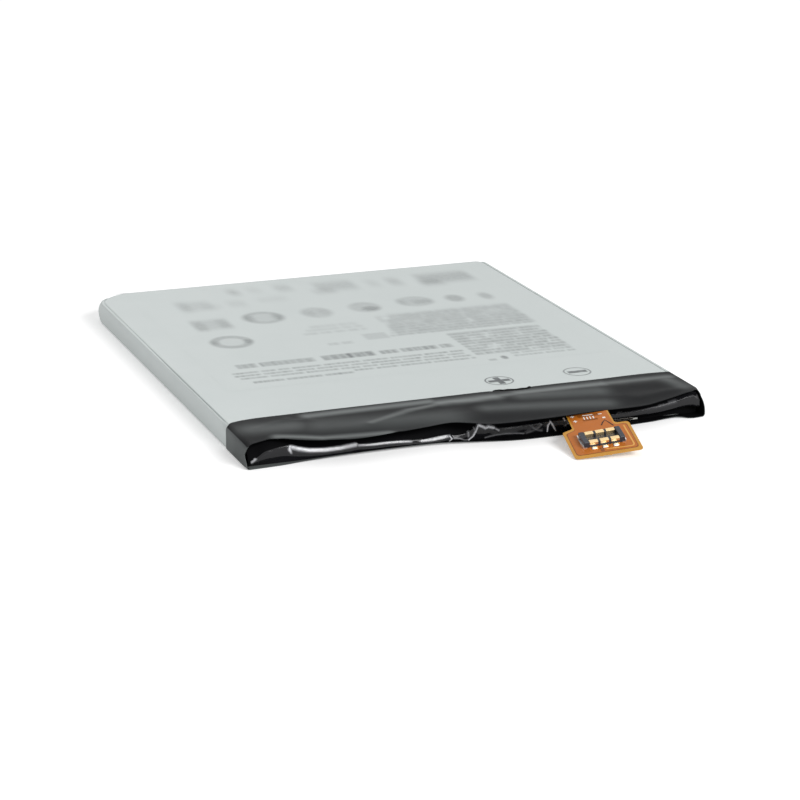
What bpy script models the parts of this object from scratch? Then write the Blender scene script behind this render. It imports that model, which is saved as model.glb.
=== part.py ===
"""Lithium-polymer battery pack of a mobile phone, lying flat.

A sealed foil pouch carries a protection board on its front terrace. A glossy tape
folds over the board, a matt tape sleeve wraps the whole front end, and a flexible
printed tail leads out of the sleeve's mouth to a six-contact board connector.

Origin: centre of the pouch's flat underside. +X runs along the connector edge,
-Y points to the connector edge and +Z points up through the printed face.
"""

import math

import bmesh
import bpy
from mathutils import Matrix, Vector

MM = 0.001

# Whole pack
PACK_WIDTH = 62.0 * MM
PACK_LENGTH = 75.0 * MM
CELL_THICKNESS = 3.15 * MM
BOND = 0.01 * MM
SIDE_PLAY = 0.03 * MM
CUT_MARGIN = 0.5 * MM

# Pouch
FAR_CORNER_RADIUS = 4.6 * MM
NEAR_CORNER_RADIUS = 1.2 * MM
TOP_EDGE_RADIUS = 0.9 * MM
FOOT_EDGE_RADIUS = 0.2 * MM
TERRACE_LENGTH = 3.2 * MM
TERRACE_THICKNESS = 0.30 * MM
TERRACE_LIFT = 0.05 * MM
TERRACE_SIDE_INSET = 1.6 * MM
FRONT_ROOM = 1.9 * MM
FLAP_THICKNESS = 0.30 * MM
FLAP_GAP = 0.05 * MM
FLAP_ROOT_HEIGHT = 0.35 * MM
FLAP_FOLD_RADIUS = 0.25 * MM
SEAM_DROP = 0.22 * MM
FLAP_FRONT_SETBACK = 0.9 * MM
FLAP_TAPER = 4.0 * MM
BARE_FROM_MOUTH = 11.2 * MM
TAPE_PRESS = 0.02 * MM
TAPE_PRESS_RUN = 0.10 * MM

# Matt sleeve of tape round the front end
SLEEVE_TAPE = 0.08 * MM
SLEEVE_TIGHT_TOP = 0.28 * MM
SLEEVE_TIGHT_FOOT = 0.20 * MM
SLEEVE_LOOSE_LEFT = 0.50 * MM
SLEEVE_LOOSE_RIGHT = 1.25 * MM
SLEEVE_LOOSE_FOOT = 0.35 * MM
SLEEVE_SIDE_REAR = 7.7 * MM
SLEEVE_FREE_TOP = 0.9 * MM
SLEEVE_CORNER_ZONE = 1.5 * MM
SLEEVE_UPPER_SHARE = 0.25
SLEEVE_TOP_SHARE = 0.1
SLEEVE_TOP_COLUMNS = 44
SLEEVE_FOOT_COLUMNS = 22
SLEEVE_SIDE_ROWS = 2

# Glossy tape over the board
BOARD_TAPE = 0.05 * MM
BOARD_TAPE_HALF = 29.9 * MM
BOARD_TAPE_FOOT = 0.035 * MM
BOARD_TAPE_RIPPLE = 0.10 * MM
LONG_RIPPLE = 7.0 * MM
SHORT_RIPPLE = 2.7 * MM
BOARD_TAPE_END = 1.5 * MM
BOARD_TAPE_END_BACK = 2.6 * MM
TAPE_COLUMNS = 34
SLOT_MARGIN = 0.12 * MM
SLOT_REACH = 0.9 * MM

# Protection board on the terrace
BOARD_LEFT = -24.0 * MM
BOARD_RIGHT = 25.0 * MM
BOARD_DEPTH = 2.85 * MM
BOARD_THICKNESS = 0.40 * MM
BOARD_UNDERSIDE = 1.25 * MM
BOARD_CORNER = 0.4 * MM
BOARD_NOTCH_RADIUS = 0.5 * MM
INSULATION_THICKNESS = 0.05 * MM
FOAM_LEFT = -21.0 * MM
FOAM_RIGHT = 3.0 * MM
FOAM_MARGIN = 0.3 * MM

# Cell tabs
TAB_WIDTH = 4.0 * MM
TAB_THICKNESS = 0.08 * MM
TAB_REACH = 2.1 * MM
POSITIVE_TAB_X = 8.1 * MM
NEGATIVE_TAB_X = 19.3 * MM
FILM_WIDTH = 5.6 * MM
FILM_LENGTH = 0.16 * MM
FILM_THICKNESS = 0.22 * MM
WELD_PAD_WIDTH = 4.6 * MM
WELD_PAD_DEPTH = 2.2 * MM
WELD_PAD_THICKNESS = 0.10 * MM

# Flexible tail, from the head's front edge back to the root on the board
TAIL_ROOT_X = 14.45 * MM
TAIL_ROOT_BACK = 0.55 * MM
TAIL_THICKNESS = 0.10 * MM
HEAD_WIDTH = 8.71 * MM
HEAD_LENGTH = 6.85 * MM
HEAD_LEFT_SHOULDER = 6.30 * MM
HEAD_CORNER = 0.50 * MM
NECK_LEFT = -2.88 * MM
NECK_RIGHT = 2.57 * MM
SHOULDER_FILLET = 0.50 * MM
BURR_PLACES = (-0.92 * MM, 0.20 * MM)
BURR_REACH = 0.13 * MM
BURR_HALF_WIDTH = 0.35 * MM
ROOT_LENGTH = 1.60 * MM
NECK_LENGTH = 1.16 * MM
NECK_DROOPED = 3.11 * MM
NECK_TOP = 2.88 * MM
RISE_ANGLE = math.radians(32.0)
RISE_RADIUS = 1.0 * MM
DROOP_ANGLE = math.radians(13.1)
DROOP_RADIUS = 4.0 * MM
TAIL_ROLL = math.radians(5.7)
TAIL_YAW = math.radians(-8.6)
STIFFENER_THICKNESS = 0.10 * MM
STIFFENER_INSET = 0.35 * MM

# Board connector on the tail's head
HOUSING_LENGTH = 5.34 * MM
HOUSING_WIDTH = 2.60 * MM
HOUSING_HEIGHT = 0.80 * MM
HOUSING_FROM_FRONT = 3.45 * MM
HOUSING_ASIDE = -0.08 * MM
HOUSING_YAW = math.radians(2.0)
HOUSING_CHAMFER = 0.12 * MM
END_BLOCK = 0.62 * MM
WALL_TOP = 0.67 * MM
WALL_THICKNESS = 0.62 * MM
CAVITY_FLOOR = 0.25 * MM
DIVIDER_WIDTH = 0.18 * MM
DIVIDER_REACH = 0.18 * MM
CONTACT_COUNT = 3
CONTACT_PITCH = 1.38 * MM
CONTACT_WIDTH = 1.08 * MM
CONTACT_THICKNESS = 0.08 * MM
CONTACT_JOG_HEIGHT = 0.30 * MM
CONTACT_JOG_DEPTH = 0.26 * MM
CONTACT_TAIL = 0.70 * MM
CONTACT_TAIL_WIDTH = 0.62 * MM
CONTACT_TAIL_STEP = 0.08 * MM
CONTACT_BEND = 0.07 * MM
HOLD_DOWN_THICKNESS = 0.10 * MM
HOLD_DOWN_DEPTH = 0.40 * MM
HOLD_DOWN_PROUD = 0.14 * MM
HOLD_DOWN_LUG = 0.72 * MM
HOLD_DOWN_RISE = 0.33 * MM

# The protection circuit: name, x, length, width, height and end cap in mm, and its look
CIRCUIT = (
    ("dual_mosfet", -18.5, 3.0, 2.1, 0.75, 0.0, "moulding"),
    ("protection_ic", -14.3, 1.8, 1.6, 0.60, 0.0, "moulding"),
    ("chip_fuse", -10.4, 3.2, 1.6, 0.55, 0.45, "ceramic"),
    ("sense_resistor", -5.8, 3.2, 1.6, 0.50, 0.45, "resistor"),
    ("chip_capacitor_1", -2.4, 1.0, 0.5, 0.50, 0.22, "capacitor"),
    ("chip_capacitor_2", -0.9, 1.0, 0.5, 0.50, 0.22, "capacitor"),
    ("chip_capacitor_3", 0.6, 1.0, 0.5, 0.50, 0.22, "capacitor"),
    ("chip_resistor_1", 2.1, 1.0, 0.5, 0.35, 0.22, "resistor"),
    ("chip_resistor_2", 3.6, 1.0, 0.5, 0.35, 0.22, "resistor"),
    ("chip_resistor_3", 5.1, 1.0, 0.5, 0.35, 0.22, "resistor"),
    ("thermistor", 19.3, 1.6, 0.8, 0.55, 0.30, "ceramic"),
)
CAP_STEP = 0.06

# Places worked out from the sizes above
HALF_WIDTH = PACK_WIDTH / 2
FAR_Y = PACK_LENGTH / 2
EDGE_UNIT = PACK_WIDTH / 62
MOUTH_Y = -PACK_LENGTH / 2
TERRACE_FRONT = MOUTH_Y + FRONT_ROOM
CELL_FRONT = TERRACE_FRONT + TERRACE_LENGTH
FLAP_OUTSIDE = HALF_WIDTH - SLEEVE_TAPE - SIDE_PLAY
BODY_SIDE = FLAP_OUTSIDE - FLAP_THICKNESS - FLAP_GAP
TERRACE_TOP = TERRACE_LIFT + TERRACE_THICKNESS
SEAM_Z = CELL_THICKNESS - SEAM_DROP
BOARD_TAPE_TOP = CELL_THICKNESS + BOND + BOARD_TAPE
SLEEVE_INNER_TOP = BOARD_TAPE_TOP + BOND
BOARD_TOP = BOARD_UNDERSIDE + BOARD_THICKNESS
BOARD_BACK = CELL_FRONT - 5 * SIDE_PLAY
BOARD_FRONT = BOARD_BACK - BOARD_DEPTH
INSULATION_TOP = TERRACE_TOP + BOND + INSULATION_THICKNESS
TAB_SEAL_Z = TERRACE_LIFT + TERRACE_THICKNESS / 2
TAB_TOP_Z = BOARD_UNDERSIDE - 2 * BOND - WELD_PAD_THICKNESS - TAB_THICKNESS / 2

# Edge shapes of the two tapes: (x, distance from the mouth line towards -Y, drop or lift), in mm
# on a pack 62 mm wide. EDGE_UNIT scales them with the pack
LIP_KNOTS = (
    (-31.0, 0.10, 0.05), (-29.0, -0.30, 0.05), (-27.4, -1.35, 0.05), (-24.4, 0.30, 0.10),
    (-21.4, 1.20, 0.20), (-17.9, 1.65, 0.30), (-14.7, 1.35, 0.33), (-11.2, 0.75, 0.30),
    (-7.7, 0.35, 0.20), (-4.3, 0.00, 0.12), (-2.2, 0.85, 0.15), (0.4, 2.05, 0.24),
    (7.3, 2.25, 0.24), (15.6, 1.75, 0.24), (21.7, 1.80, 0.24), (25.7, 0.20, 0.16),
    (28.5, -0.85, 0.05), (31.0, -1.30, 0.05),
)
FOOT_KNOTS = (
    (-31.0, -0.10, 0.00), (-26.6, -0.40, 0.00), (-23.5, -0.70, 0.10), (-18.5, -0.85, 0.25),
    (-12.4, -1.00, 0.30), (-5.8, -0.90, 0.30), (-0.5, -0.10, 0.15), (4.7, 0.60, 0.00),
    (10.3, 0.60, 0.00), (23.2, -0.40, 0.00), (27.5, -0.70, 0.15), (29.0, 0.00, 0.00),
    (31.0, -0.60, 0.00),
)
SLEEVE_REAR_KNOTS = (
    (-31.0, 7.90), (-30.2, 8.70), (-28.7, 9.40), (-26.0, 9.70), (0.0, 10.05), (31.0, 11.00),
)
BOARD_TAPE_REAR_KNOTS = (
    (-31.0, 8.60), (5.2, 8.90), (5.9, 10.80), (8.2, 11.00), (10.4, 10.75), (10.9, 9.00),
    (31.0, 9.60),
)
SLEEVE_STATIONS = (0.0, 0.3, 0.55, 0.68, 0.78, 0.86, 0.93, 1.0)
# The glossy tape's fall in front of the cell: distance behind the terrace's front in EDGE_UNIT,
# share of the fall, share of the ripple, share of the set-back of its two ends
BOARD_TAPE_FALL = (
    (1.70, 0.006, 0.0, 0.3), (0.50, 0.08, 0.0, 0.6), (-0.50, 0.24, 1.0, 1.0),
    (-0.94, 0.40, 1.0, 1.0), (-1.04, 0.51, 1.0, 1.0), (-0.94, 0.62, 0.0, 1.0),
    (-0.86, 0.77, 0.0, 1.0), (-0.90, 1.00, 0.0, 1.0),
)

PARTS = "phone_battery_pack"
CUTTERS = "phone_battery_pack_cutters"


# Scene and materials

def clear_scene():
    for old in list(bpy.data.objects):
        bpy.data.objects.remove(old, do_unlink=True)


def collection(name):
    group = bpy.data.collections.new(name)
    bpy.context.scene.collection.children.link(group)
    return group


def finish(name, colour, roughness, metallic=0.0):
    material = bpy.data.materials.new(name)
    material.use_nodes = True
    shader = material.node_tree.nodes["Principled BSDF"]
    shader.inputs["Base Color"].default_value = (*colour, 1.0)
    shader.inputs["Roughness"].default_value = roughness
    shader.inputs["Metallic"].default_value = metallic
    return material


def add_part(name, shape, material, parent=None):
    """Makes a bmesh into a named part, and frees the bmesh."""
    mesh = bpy.data.meshes.new(name)
    bmesh.ops.recalc_face_normals(shape, faces=shape.faces)
    shape.to_mesh(mesh)
    shape.free()
    part = bpy.data.objects.new(name, mesh)
    part.data.materials.append(material)
    part.parent = parent
    bpy.data.collections[PARTS].objects.link(part)
    return part


def add_cutter(name, shape, parent=None):
    """Makes a bmesh into a hidden tool for Booleans."""
    mesh = bpy.data.meshes.new(name)
    bmesh.ops.recalc_face_normals(shape, faces=shape.faces)
    shape.to_mesh(mesh)
    shape.free()
    tool = bpy.data.objects.new(name, mesh)
    tool.parent = parent
    tool.hide_render = True
    tool.display_type = "WIRE"
    bpy.data.collections[CUTTERS].objects.link(tool)
    return tool


def combine(part, tool, operation):
    step = part.modifiers.new(f"{operation.lower()}_{tool.name}", "BOOLEAN")
    step.operation = operation
    step.solver = "EXACT"
    step.object = tool


def thicken(part, thickness, offset):
    step = part.modifiers.new("tape_thickness", "SOLIDIFY")
    step.thickness = thickness
    step.offset = offset
    step.use_even_offset = True


# Shapes

def box(low, high):
    """A bmesh box between two corners."""
    low, high = Vector(low), Vector(high)
    shape = bmesh.new()
    bmesh.ops.create_cube(shape, size=1.0)
    size = high - low
    bmesh.ops.scale(shape, vec=size, verts=shape.verts)
    bmesh.ops.translate(shape, vec=(low + high) / 2, verts=shape.verts)
    return shape


def round_edges(shape, radius, segments, wanted):
    """Bevels the edges that the test named wanted accepts."""
    edges = [edge for edge in shape.edges if wanted(*(v.co for v in edge.verts))]
    bmesh.ops.bevel(shape, geom=edges, offset=radius, segments=segments, profile=0.5,
                    affect="EDGES", clamp_overlap=True)


def upright(a, b):
    return abs(a.x - b.x) < BOND / 10 and abs(a.y - b.y) < BOND / 10


def level_at(height):
    return lambda a, b: abs(a.z - height) < BOND / 10 and abs(b.z - height) < BOND / 10


def prism(outline, depth):
    """An outline of (x, y) points, extruded by depth along +Z."""
    shape = bmesh.new()
    ring = [shape.verts.new((x, y, 0.0)) for x, y in outline]
    face = shape.faces.new(ring)
    grown = bmesh.ops.extrude_face_region(shape, geom=[face])
    top = [item for item in grown["geom"] if isinstance(item, bmesh.types.BMVert)]
    bmesh.ops.translate(shape, vec=(0.0, 0.0, depth), verts=top)
    return shape


def filleted(corners, segments=4):
    """Rounds each corner (x, y, radius) of a closed outline with a tangent arc."""
    outline = []
    for index, (x, y, radius) in enumerate(corners):
        corner = Vector((x, y))
        before = (Vector(corners[index - 1][:2]) - corner).normalized()
        after = (Vector(corners[(index + 1) % len(corners)][:2]) - corner).normalized()
        if radius <= 0.0:
            outline.append(corner)
            continue
        half = before.angle(after) / 2
        centre = corner + (before + after).normalized() * radius / math.sin(half)
        start = corner + before * radius / math.tan(half) - centre
        end = corner + after * radius / math.tan(half) - centre
        sweep = start.angle_signed(end)
        for step in range(segments + 1):
            turn = Matrix.Rotation(-sweep * step / segments, 2)
            outline.append(centre + turn @ start)
    return [tuple(point) for point in outline]


def through_knots(knots, x, column=1):
    """A smooth curve through (x, value, ...) knots, with straight ends."""
    if x <= knots[0][0]:
        return knots[0][column]
    if x >= knots[-1][0]:
        return knots[-1][column]
    span = next(i for i in range(len(knots) - 1) if x <= knots[i + 1][0])
    low, high = knots[span], knots[span + 1]
    width = high[0] - low[0]

    def slope(index):
        before = knots[max(index - 1, 0)]
        after = knots[min(index + 1, len(knots) - 1)]
        return (after[column] - before[column]) / (after[0] - before[0])

    t = (x - low[0]) / width
    return (low[column] * (2 * t**3 - 3 * t**2 + 1) + high[column] * (3 * t**2 - 2 * t**3)
            + slope(span) * width * (t**3 - 2 * t**2 + t)
            + slope(span + 1) * width * (t**3 - t**2))


def smooth(t):
    t = min(max(t, 0.0), 1.0)
    return t * t * (3 - 2 * t)


def surface(rows, closed=False):
    """An open sheet of quads through rows of points. A closed sheet joins each row's ends."""
    shape = bmesh.new()
    grid = [[shape.verts.new(point) for point in row] for row in rows]
    for near, far in zip(grid, grid[1:]):
        last = len(near) if closed else len(near) - 1
        for i in range(last):
            j = (i + 1) % len(near)
            shape.faces.new((near[i], near[j], far[j], far[i]))
    return shape


def bent_strip(path, width, bend):
    """A strip's middle surface: a (y, z) path across X, its corners rounded by bend."""
    shape = bmesh.new()
    line = [shape.verts.new((-width / 2, y, z)) for y, z in path]
    edges = [shape.edges.new(pair) for pair in zip(line, line[1:])]
    grown = bmesh.ops.extrude_edge_only(shape, edges=edges)
    moved = [item for item in grown["geom"] if isinstance(item, bmesh.types.BMVert)]
    bmesh.ops.translate(shape, vec=(width, 0.0, 0.0), verts=moved)
    folds = [edge for edge in shape.edges if len(edge.link_faces) == 2]
    bmesh.ops.bevel(shape, geom=folds, offset=bend, segments=2, profile=0.5,
                    affect="EDGES", clamp_overlap=True)
    return shape


# Pouch

def flap_section(side):
    """The side seal, folded up against the pouch, as an (x, z) outline."""
    outside = FLAP_OUTSIDE
    inside = BODY_SIDE + FLAP_GAP
    root = BODY_SIDE - CUT_MARGIN
    foot = TERRACE_LIFT / 2
    corners = [
        (root, foot, 0.0), (outside, foot, FLAP_FOLD_RADIUS),
        (outside, SEAM_Z, FLAP_THICKNESS / 4), (inside, SEAM_Z, 0.0),
        (inside, foot + FLAP_ROOT_HEIGHT, 0.0), (root, foot + FLAP_ROOT_HEIGHT, 0.0),
    ]
    return [(side * x, z) for x, z in filleted(corners, 3)]


def side_flap(side):
    """One side seal along the pouch, thinning out at both ends."""
    front = CELL_FRONT + FLAP_FRONT_SETBACK
    rear = FAR_Y - FAR_CORNER_RADIUS
    stations = ((front, 0.0), (front + FLAP_TAPER / 4, 1.0), (rear - FLAP_TAPER, 1.0), (rear, 0.0))
    thin = BODY_SIDE + BOND
    shape = bmesh.new()
    rings = []
    for y, fullness in stations:
        ring = []
        for x, z in flap_section(side):
            kept = min(abs(x), thin) + max(abs(x) - thin, 0.0) * (0.1 + 0.9 * fullness)
            ring.append(shape.verts.new((side * kept, y, z)))
        rings.append(ring)
    for near, far in zip(rings, rings[1:]):
        for i in range(len(near)):
            j = (i + 1) % len(near)
            shape.faces.new((near[i], near[j], far[j], far[i]))
    shape.faces.new(rings[0])
    shape.faces.new(rings[-1])
    return add_cutter(f"side_flap_{'right' if side > 0 else 'left'}", shape)


def press_under_tapes(body):
    """Sinks both flat faces by a hair where the tapes grip the soft pouch."""
    rear = MOUTH_Y + BARE_FROM_MOUTH
    for y in (rear, rear - TAPE_PRESS_RUN):
        bmesh.ops.bisect_plane(body, geom=body.verts[:] + body.edges[:] + body.faces[:],
                               plane_co=(0.0, y, 0.0), plane_no=(0.0, 1.0, 0.0))
    for vertex in body.verts:
        if vertex.co.y < rear - TAPE_PRESS_RUN / 2:
            if abs(vertex.co.z - CELL_THICKNESS) < BOND / 10:
                vertex.co.z -= TAPE_PRESS
            elif abs(vertex.co.z) < BOND / 10:
                vertex.co.z += TAPE_PRESS


def pouch_cell(foil):
    """The sealed pouch: drawn body, front terrace and folded side seals, in one piece."""
    body = box((-BODY_SIDE, CELL_FRONT, 0.0), (BODY_SIDE, FAR_Y, CELL_THICKNESS))
    round_edges(body, FAR_CORNER_RADIUS, 7, lambda a, b: upright(a, b) and a.y > 0)
    round_edges(body, NEAR_CORNER_RADIUS, 3, lambda a, b: upright(a, b) and a.y < 0)
    round_edges(body, TOP_EDGE_RADIUS, 4, level_at(CELL_THICKNESS))
    round_edges(body, FOOT_EDGE_RADIUS, 2, level_at(0.0))
    press_under_tapes(body)
    cell = add_part("pouch_cell", body, foil)
    inset = BODY_SIDE - TERRACE_SIDE_INSET
    ledge = box((-inset, TERRACE_FRONT, TERRACE_LIFT),
                (inset, CELL_FRONT + NEAR_CORNER_RADIUS, TERRACE_TOP))
    combine(cell, add_cutter("terrace", ledge), "UNION")
    for side in (-1, 1):
        combine(cell, side_flap(side), "UNION")


# Tabs and board

def tab_path():
    """A tab's middle line: out of the seal, folded back over the terrace."""
    start = TERRACE_FRONT - BOND
    bend_y = start - FILM_LENGTH - BOND
    radius = (TAB_TOP_Z - TAB_SEAL_Z) / 2
    middle = (TAB_TOP_Z + TAB_SEAL_Z) / 2
    path = [(start, TAB_SEAL_Z)]
    for step in range(9):
        angle = -math.pi / 2 - math.pi * step / 8
        path.append((bend_y + radius * math.cos(angle), middle + radius * math.sin(angle)))
    path.append((bend_y + TAB_REACH, TAB_TOP_Z))
    return path


def strip_along(path, width):
    """A smooth strip's middle surface across X, without added bends."""
    return surface([[(x, y, z) for y, z in path] for x in (-width / 2, width / 2)])


def cell_tab(name, x, metal):
    """One tab, with its sealing film and the nickel pad that it is welded to."""
    tab = add_part(f"{name}_tab", strip_along(tab_path(), TAB_WIDTH), metal["tab"])
    tab.location.x = x
    thicken(tab, TAB_THICKNESS, 0.0)
    front = TERRACE_FRONT - BOND
    half = FILM_WIDTH / 2
    film = add_part(f"{name}_tab_film", box((-half, front - FILM_LENGTH, TAB_SEAL_Z - FILM_THICKNESS / 2),
                                            (half, front, TAB_SEAL_Z + FILM_THICKNESS / 2)), metal["film"])
    film.location.x = x
    slot_half = TAB_WIDTH / 2 + BOND
    slot_z = TAB_THICKNESS / 2 + BOND
    slot = box((-slot_half, front - FILM_LENGTH - CUT_MARGIN, TAB_SEAL_Z - slot_z),
               (slot_half, front + CUT_MARGIN, TAB_SEAL_Z + slot_z))
    cut = add_cutter(f"{name}_film_slot", slot)
    cut.location.x = x
    combine(film, cut, "DIFFERENCE")
    pad_top = BOARD_UNDERSIDE - BOND
    pad_middle = (BOARD_FRONT + BOARD_BACK) / 2
    pad = box((-WELD_PAD_WIDTH / 2, pad_middle - WELD_PAD_DEPTH / 2, pad_top - WELD_PAD_THICKNESS),
              (WELD_PAD_WIDTH / 2, pad_middle + WELD_PAD_DEPTH / 2, pad_top))
    round_edges(pad, WELD_PAD_THICKNESS * 2, 2, upright)
    weld_pad = add_part(f"{name}_weld_pad", pad, metal["nickel"])
    weld_pad.location.x = x


def protection_board(solder_mask):
    """The board, with rounded corners and a tooling notch in each end."""
    corners = []
    middle = (BOARD_FRONT + BOARD_BACK) / 2
    for x, y in ((BOARD_LEFT, BOARD_FRONT), (BOARD_RIGHT, BOARD_FRONT),
                 (BOARD_RIGHT, BOARD_BACK), (BOARD_LEFT, BOARD_BACK)):
        corners.append((x, y, BOARD_CORNER))
    plate = prism(filleted(corners), BOARD_THICKNESS)
    bmesh.ops.translate(plate, vec=(0.0, 0.0, BOARD_UNDERSIDE), verts=plate.verts)
    board = add_part("protection_board", plate, solder_mask)
    for name, x in (("left", BOARD_LEFT), ("right", BOARD_RIGHT)):
        drill = bmesh.new()
        bmesh.ops.create_cone(drill, cap_ends=True, segments=16, radius1=BOARD_NOTCH_RADIUS,
                              radius2=BOARD_NOTCH_RADIUS, depth=BOARD_THICKNESS + 2 * CUT_MARGIN)
        bmesh.ops.translate(drill, vec=(x, middle, BOARD_UNDERSIDE + BOARD_THICKNESS / 2),
                            verts=drill.verts)
        combine(board, add_cutter(f"board_notch_{name}", drill), "DIFFERENCE")


def chip(name, x, length, width, height, cap, material):
    """A part soldered on the board: a moulded body, or a block with wrapped end caps."""
    middle = (BOARD_FRONT + BOARD_BACK) / 2
    low = BOARD_TOP + BOND
    body = box((-length / 2, -width / 2, low), (length / 2, width / 2, low + height))
    if cap > 0.0:
        lip = height * CAP_STEP
        for cut in (-length / 2 + cap, -length / 2 + cap + lip, length / 2 - cap - lip, length / 2 - cap):
            bmesh.ops.bisect_plane(body, geom=body.verts[:] + body.edges[:] + body.faces[:],
                                   plane_co=(cut, 0.0, 0.0), plane_no=(1.0, 0.0, 0.0))
        for vertex in body.verts:
            if abs(vertex.co.x) <= length / 2 - cap - lip / 2:
                vertex.co.y -= math.copysign(lip, vertex.co.y)
                vertex.co.z -= lip if vertex.co.z > low + height / 2 else -lip
    else:
        round_edges(body, height * 2 * CAP_STEP, 1, level_at(low + height))
    part = add_part(name, body, material)
    part.location = (x, middle, 0.0)


def board_components(look):
    """The protection circuit along the board's upper face, on both sides of the tail's root."""
    for name, x, length, width, height, cap, material in CIRCUIT:
        chip(name, x * MM, length * MM, width * MM, height * MM, cap * MM, look[material])


def terrace_packing(look):
    """The strip that insulates the terrace, and the foam pad that carries the board."""
    inset = BODY_SIDE - TERRACE_SIDE_INSET
    strip = box((-inset, TERRACE_FRONT, TERRACE_TOP + BOND),
                (inset, CELL_FRONT - 2 * SIDE_PLAY, INSULATION_TOP))
    add_part("terrace_insulation", strip, look["polyimide"])
    pad = box((FOAM_LEFT, BOARD_FRONT + FOAM_MARGIN, INSULATION_TOP + BOND),
              (FOAM_RIGHT, BOARD_BACK - FOAM_MARGIN, BOARD_UNDERSIDE - BOND))
    add_part("board_foam_pad", pad, look["foam"])


# Tail

def tail_bends():
    """The tail's stretches from root to head: (length, turn), a turn above zero bends up."""
    root_top = BOARD_TOP + BOND + TAIL_THICKNESS
    rise = NECK_TOP - root_top
    slope = (rise - 2 * RISE_RADIUS * (1 - math.cos(RISE_ANGLE))) / math.sin(RISE_ANGLE)
    return (
        (ROOT_LENGTH, 0.0), (RISE_RADIUS * RISE_ANGLE, RISE_ANGLE), (slope, 0.0),
        (RISE_RADIUS * RISE_ANGLE, -RISE_ANGLE), (NECK_LENGTH, 0.0),
        (DROOP_RADIUS * DROOP_ANGLE, -DROOP_ANGLE), (NECK_DROOPED, 0.0), (HEAD_LENGTH, 0.0),
    )


def tail_length():
    return sum(length for length, turn in tail_bends())


def tail_stations(steps=4):
    """Distances from the root where the sheet is divided so that it can bend."""
    places, run = [], 0.0
    for length, turn in tail_bends():
        if run + length < tail_length() - BOND:
            places += [run + length * step / steps for step in range(1, steps + 1)]
        run += length
    return places


def tail_frame(distance):
    """The frame at a distance from the root: X across, Y back to the root, Z out of the top."""
    turned = Matrix.Rotation(TAIL_YAW, 4, "Z")
    y, z, angle, run = 0.0, BOARD_TOP + BOND + TAIL_THICKNESS, 0.0, 0.0
    for length, turn in tail_bends():
        part = min(max(distance - run, 0.0), length)
        bent = turn * part / length
        chord = part if bent == 0.0 else part * math.sin(bent / 2) / (bent / 2)
        y -= chord * math.cos(angle + bent / 2)
        z += chord * math.sin(angle + bent / 2)
        angle += bent
        run += length
    roll = TAIL_ROLL * smooth((distance - ROOT_LENGTH) / (tail_length() - ROOT_LENGTH - HEAD_LENGTH))
    place = Matrix.Translation((TAIL_ROOT_X, BOARD_BACK - TAIL_ROOT_BACK, 0.0)) @ turned
    return (place @ Matrix.Translation((0.0, y, z)) @ Matrix.Rotation(-angle, 4, "X")
            @ Matrix.Rotation(-roll, 4, "Y"))


def head_frame():
    """The flat head's frame, with its origin in the middle of the front edge."""
    return tail_frame(tail_length())


def tail_outline():
    """The flat sheet's outline, as (x, distance behind the head's front edge)."""
    half = HEAD_WIDTH / 2
    root = tail_length()
    corners = [(-half, 0.0, HEAD_CORNER)]
    for burr in BURR_PLACES:
        corners += [(burr - BURR_HALF_WIDTH, 0.0, 0.0), (burr, -BURR_REACH, 0.0),
                    (burr + BURR_HALF_WIDTH / 2, 0.0, 0.0)]
    corners += [
        (half, 0.0, HEAD_CORNER), (half, HEAD_LENGTH, HEAD_CORNER),
        (NECK_RIGHT, HEAD_LENGTH, SHOULDER_FILLET), (NECK_RIGHT, root, 0.0),
        (NECK_LEFT, root, 0.0), (NECK_LEFT, HEAD_LENGTH, SHOULDER_FILLET),
        (-half, HEAD_LEFT_SHOULDER, HEAD_CORNER),
    ]
    return filleted(corners)


def flex_tail(polyimide):
    """The tail: a flat outline, divided at its bends and then folded along them."""
    sheet = prism(tail_outline(), -TAIL_THICKNESS)
    whole = tail_length()
    for place in tail_stations():
        bmesh.ops.bisect_plane(sheet, geom=sheet.verts[:] + sheet.edges[:] + sheet.faces[:],
                               plane_co=(0.0, whole - place, 0.0), plane_no=(0.0, 1.0, 0.0))
    for vertex in sheet.verts:
        from_root = whole - max(vertex.co.y, 0.0)
        beyond = min(vertex.co.y, 0.0)
        vertex.co = tail_frame(from_root) @ Vector((vertex.co.x, beyond, vertex.co.z))
    add_part("flex_tail", sheet, polyimide)


def head_stiffener(material, parent):
    """The plate laminated under the head, just inside its outline."""
    half = HEAD_WIDTH / 2 - STIFFENER_INSET
    corners = [
        (-half, STIFFENER_INSET, HEAD_CORNER), (half, STIFFENER_INSET, HEAD_CORNER),
        (half, HEAD_LENGTH - STIFFENER_INSET, HEAD_CORNER),
        (-half, HEAD_LEFT_SHOULDER - STIFFENER_INSET, HEAD_CORNER),
    ]
    plate = prism(filleted(corners), -STIFFENER_THICKNESS)
    bmesh.ops.translate(plate, vec=(0.0, 0.0, -TAIL_THICKNESS - BOND), verts=plate.verts)
    add_part("head_stiffener", plate, material, parent)


# Connector. Its empty stands on the head's top face, under the housing's middle

def contact_path(grow=0.0):
    """A contact's middle line over the housing's near wall: inner leg, outer leg, solder tail."""
    half = CONTACT_THICKNESS / 2
    outer = -HOUSING_WIDTH / 2 + half
    inner = -HOUSING_WIDTH / 2 + WALL_THICKNESS - half
    top = WALL_TOP + BOND + half
    tail_z = 2 * BOND + half
    return [
        (inner, CAVITY_FLOOR + 2 * BOND - grow), (inner, top), (outer, top),
        (outer, CONTACT_JOG_HEIGHT), (outer + CONTACT_JOG_DEPTH, CONTACT_JOG_HEIGHT),
        (outer + CONTACT_JOG_DEPTH, tail_z), (outer - CONTACT_TAIL - grow, tail_z),
    ]


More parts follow.
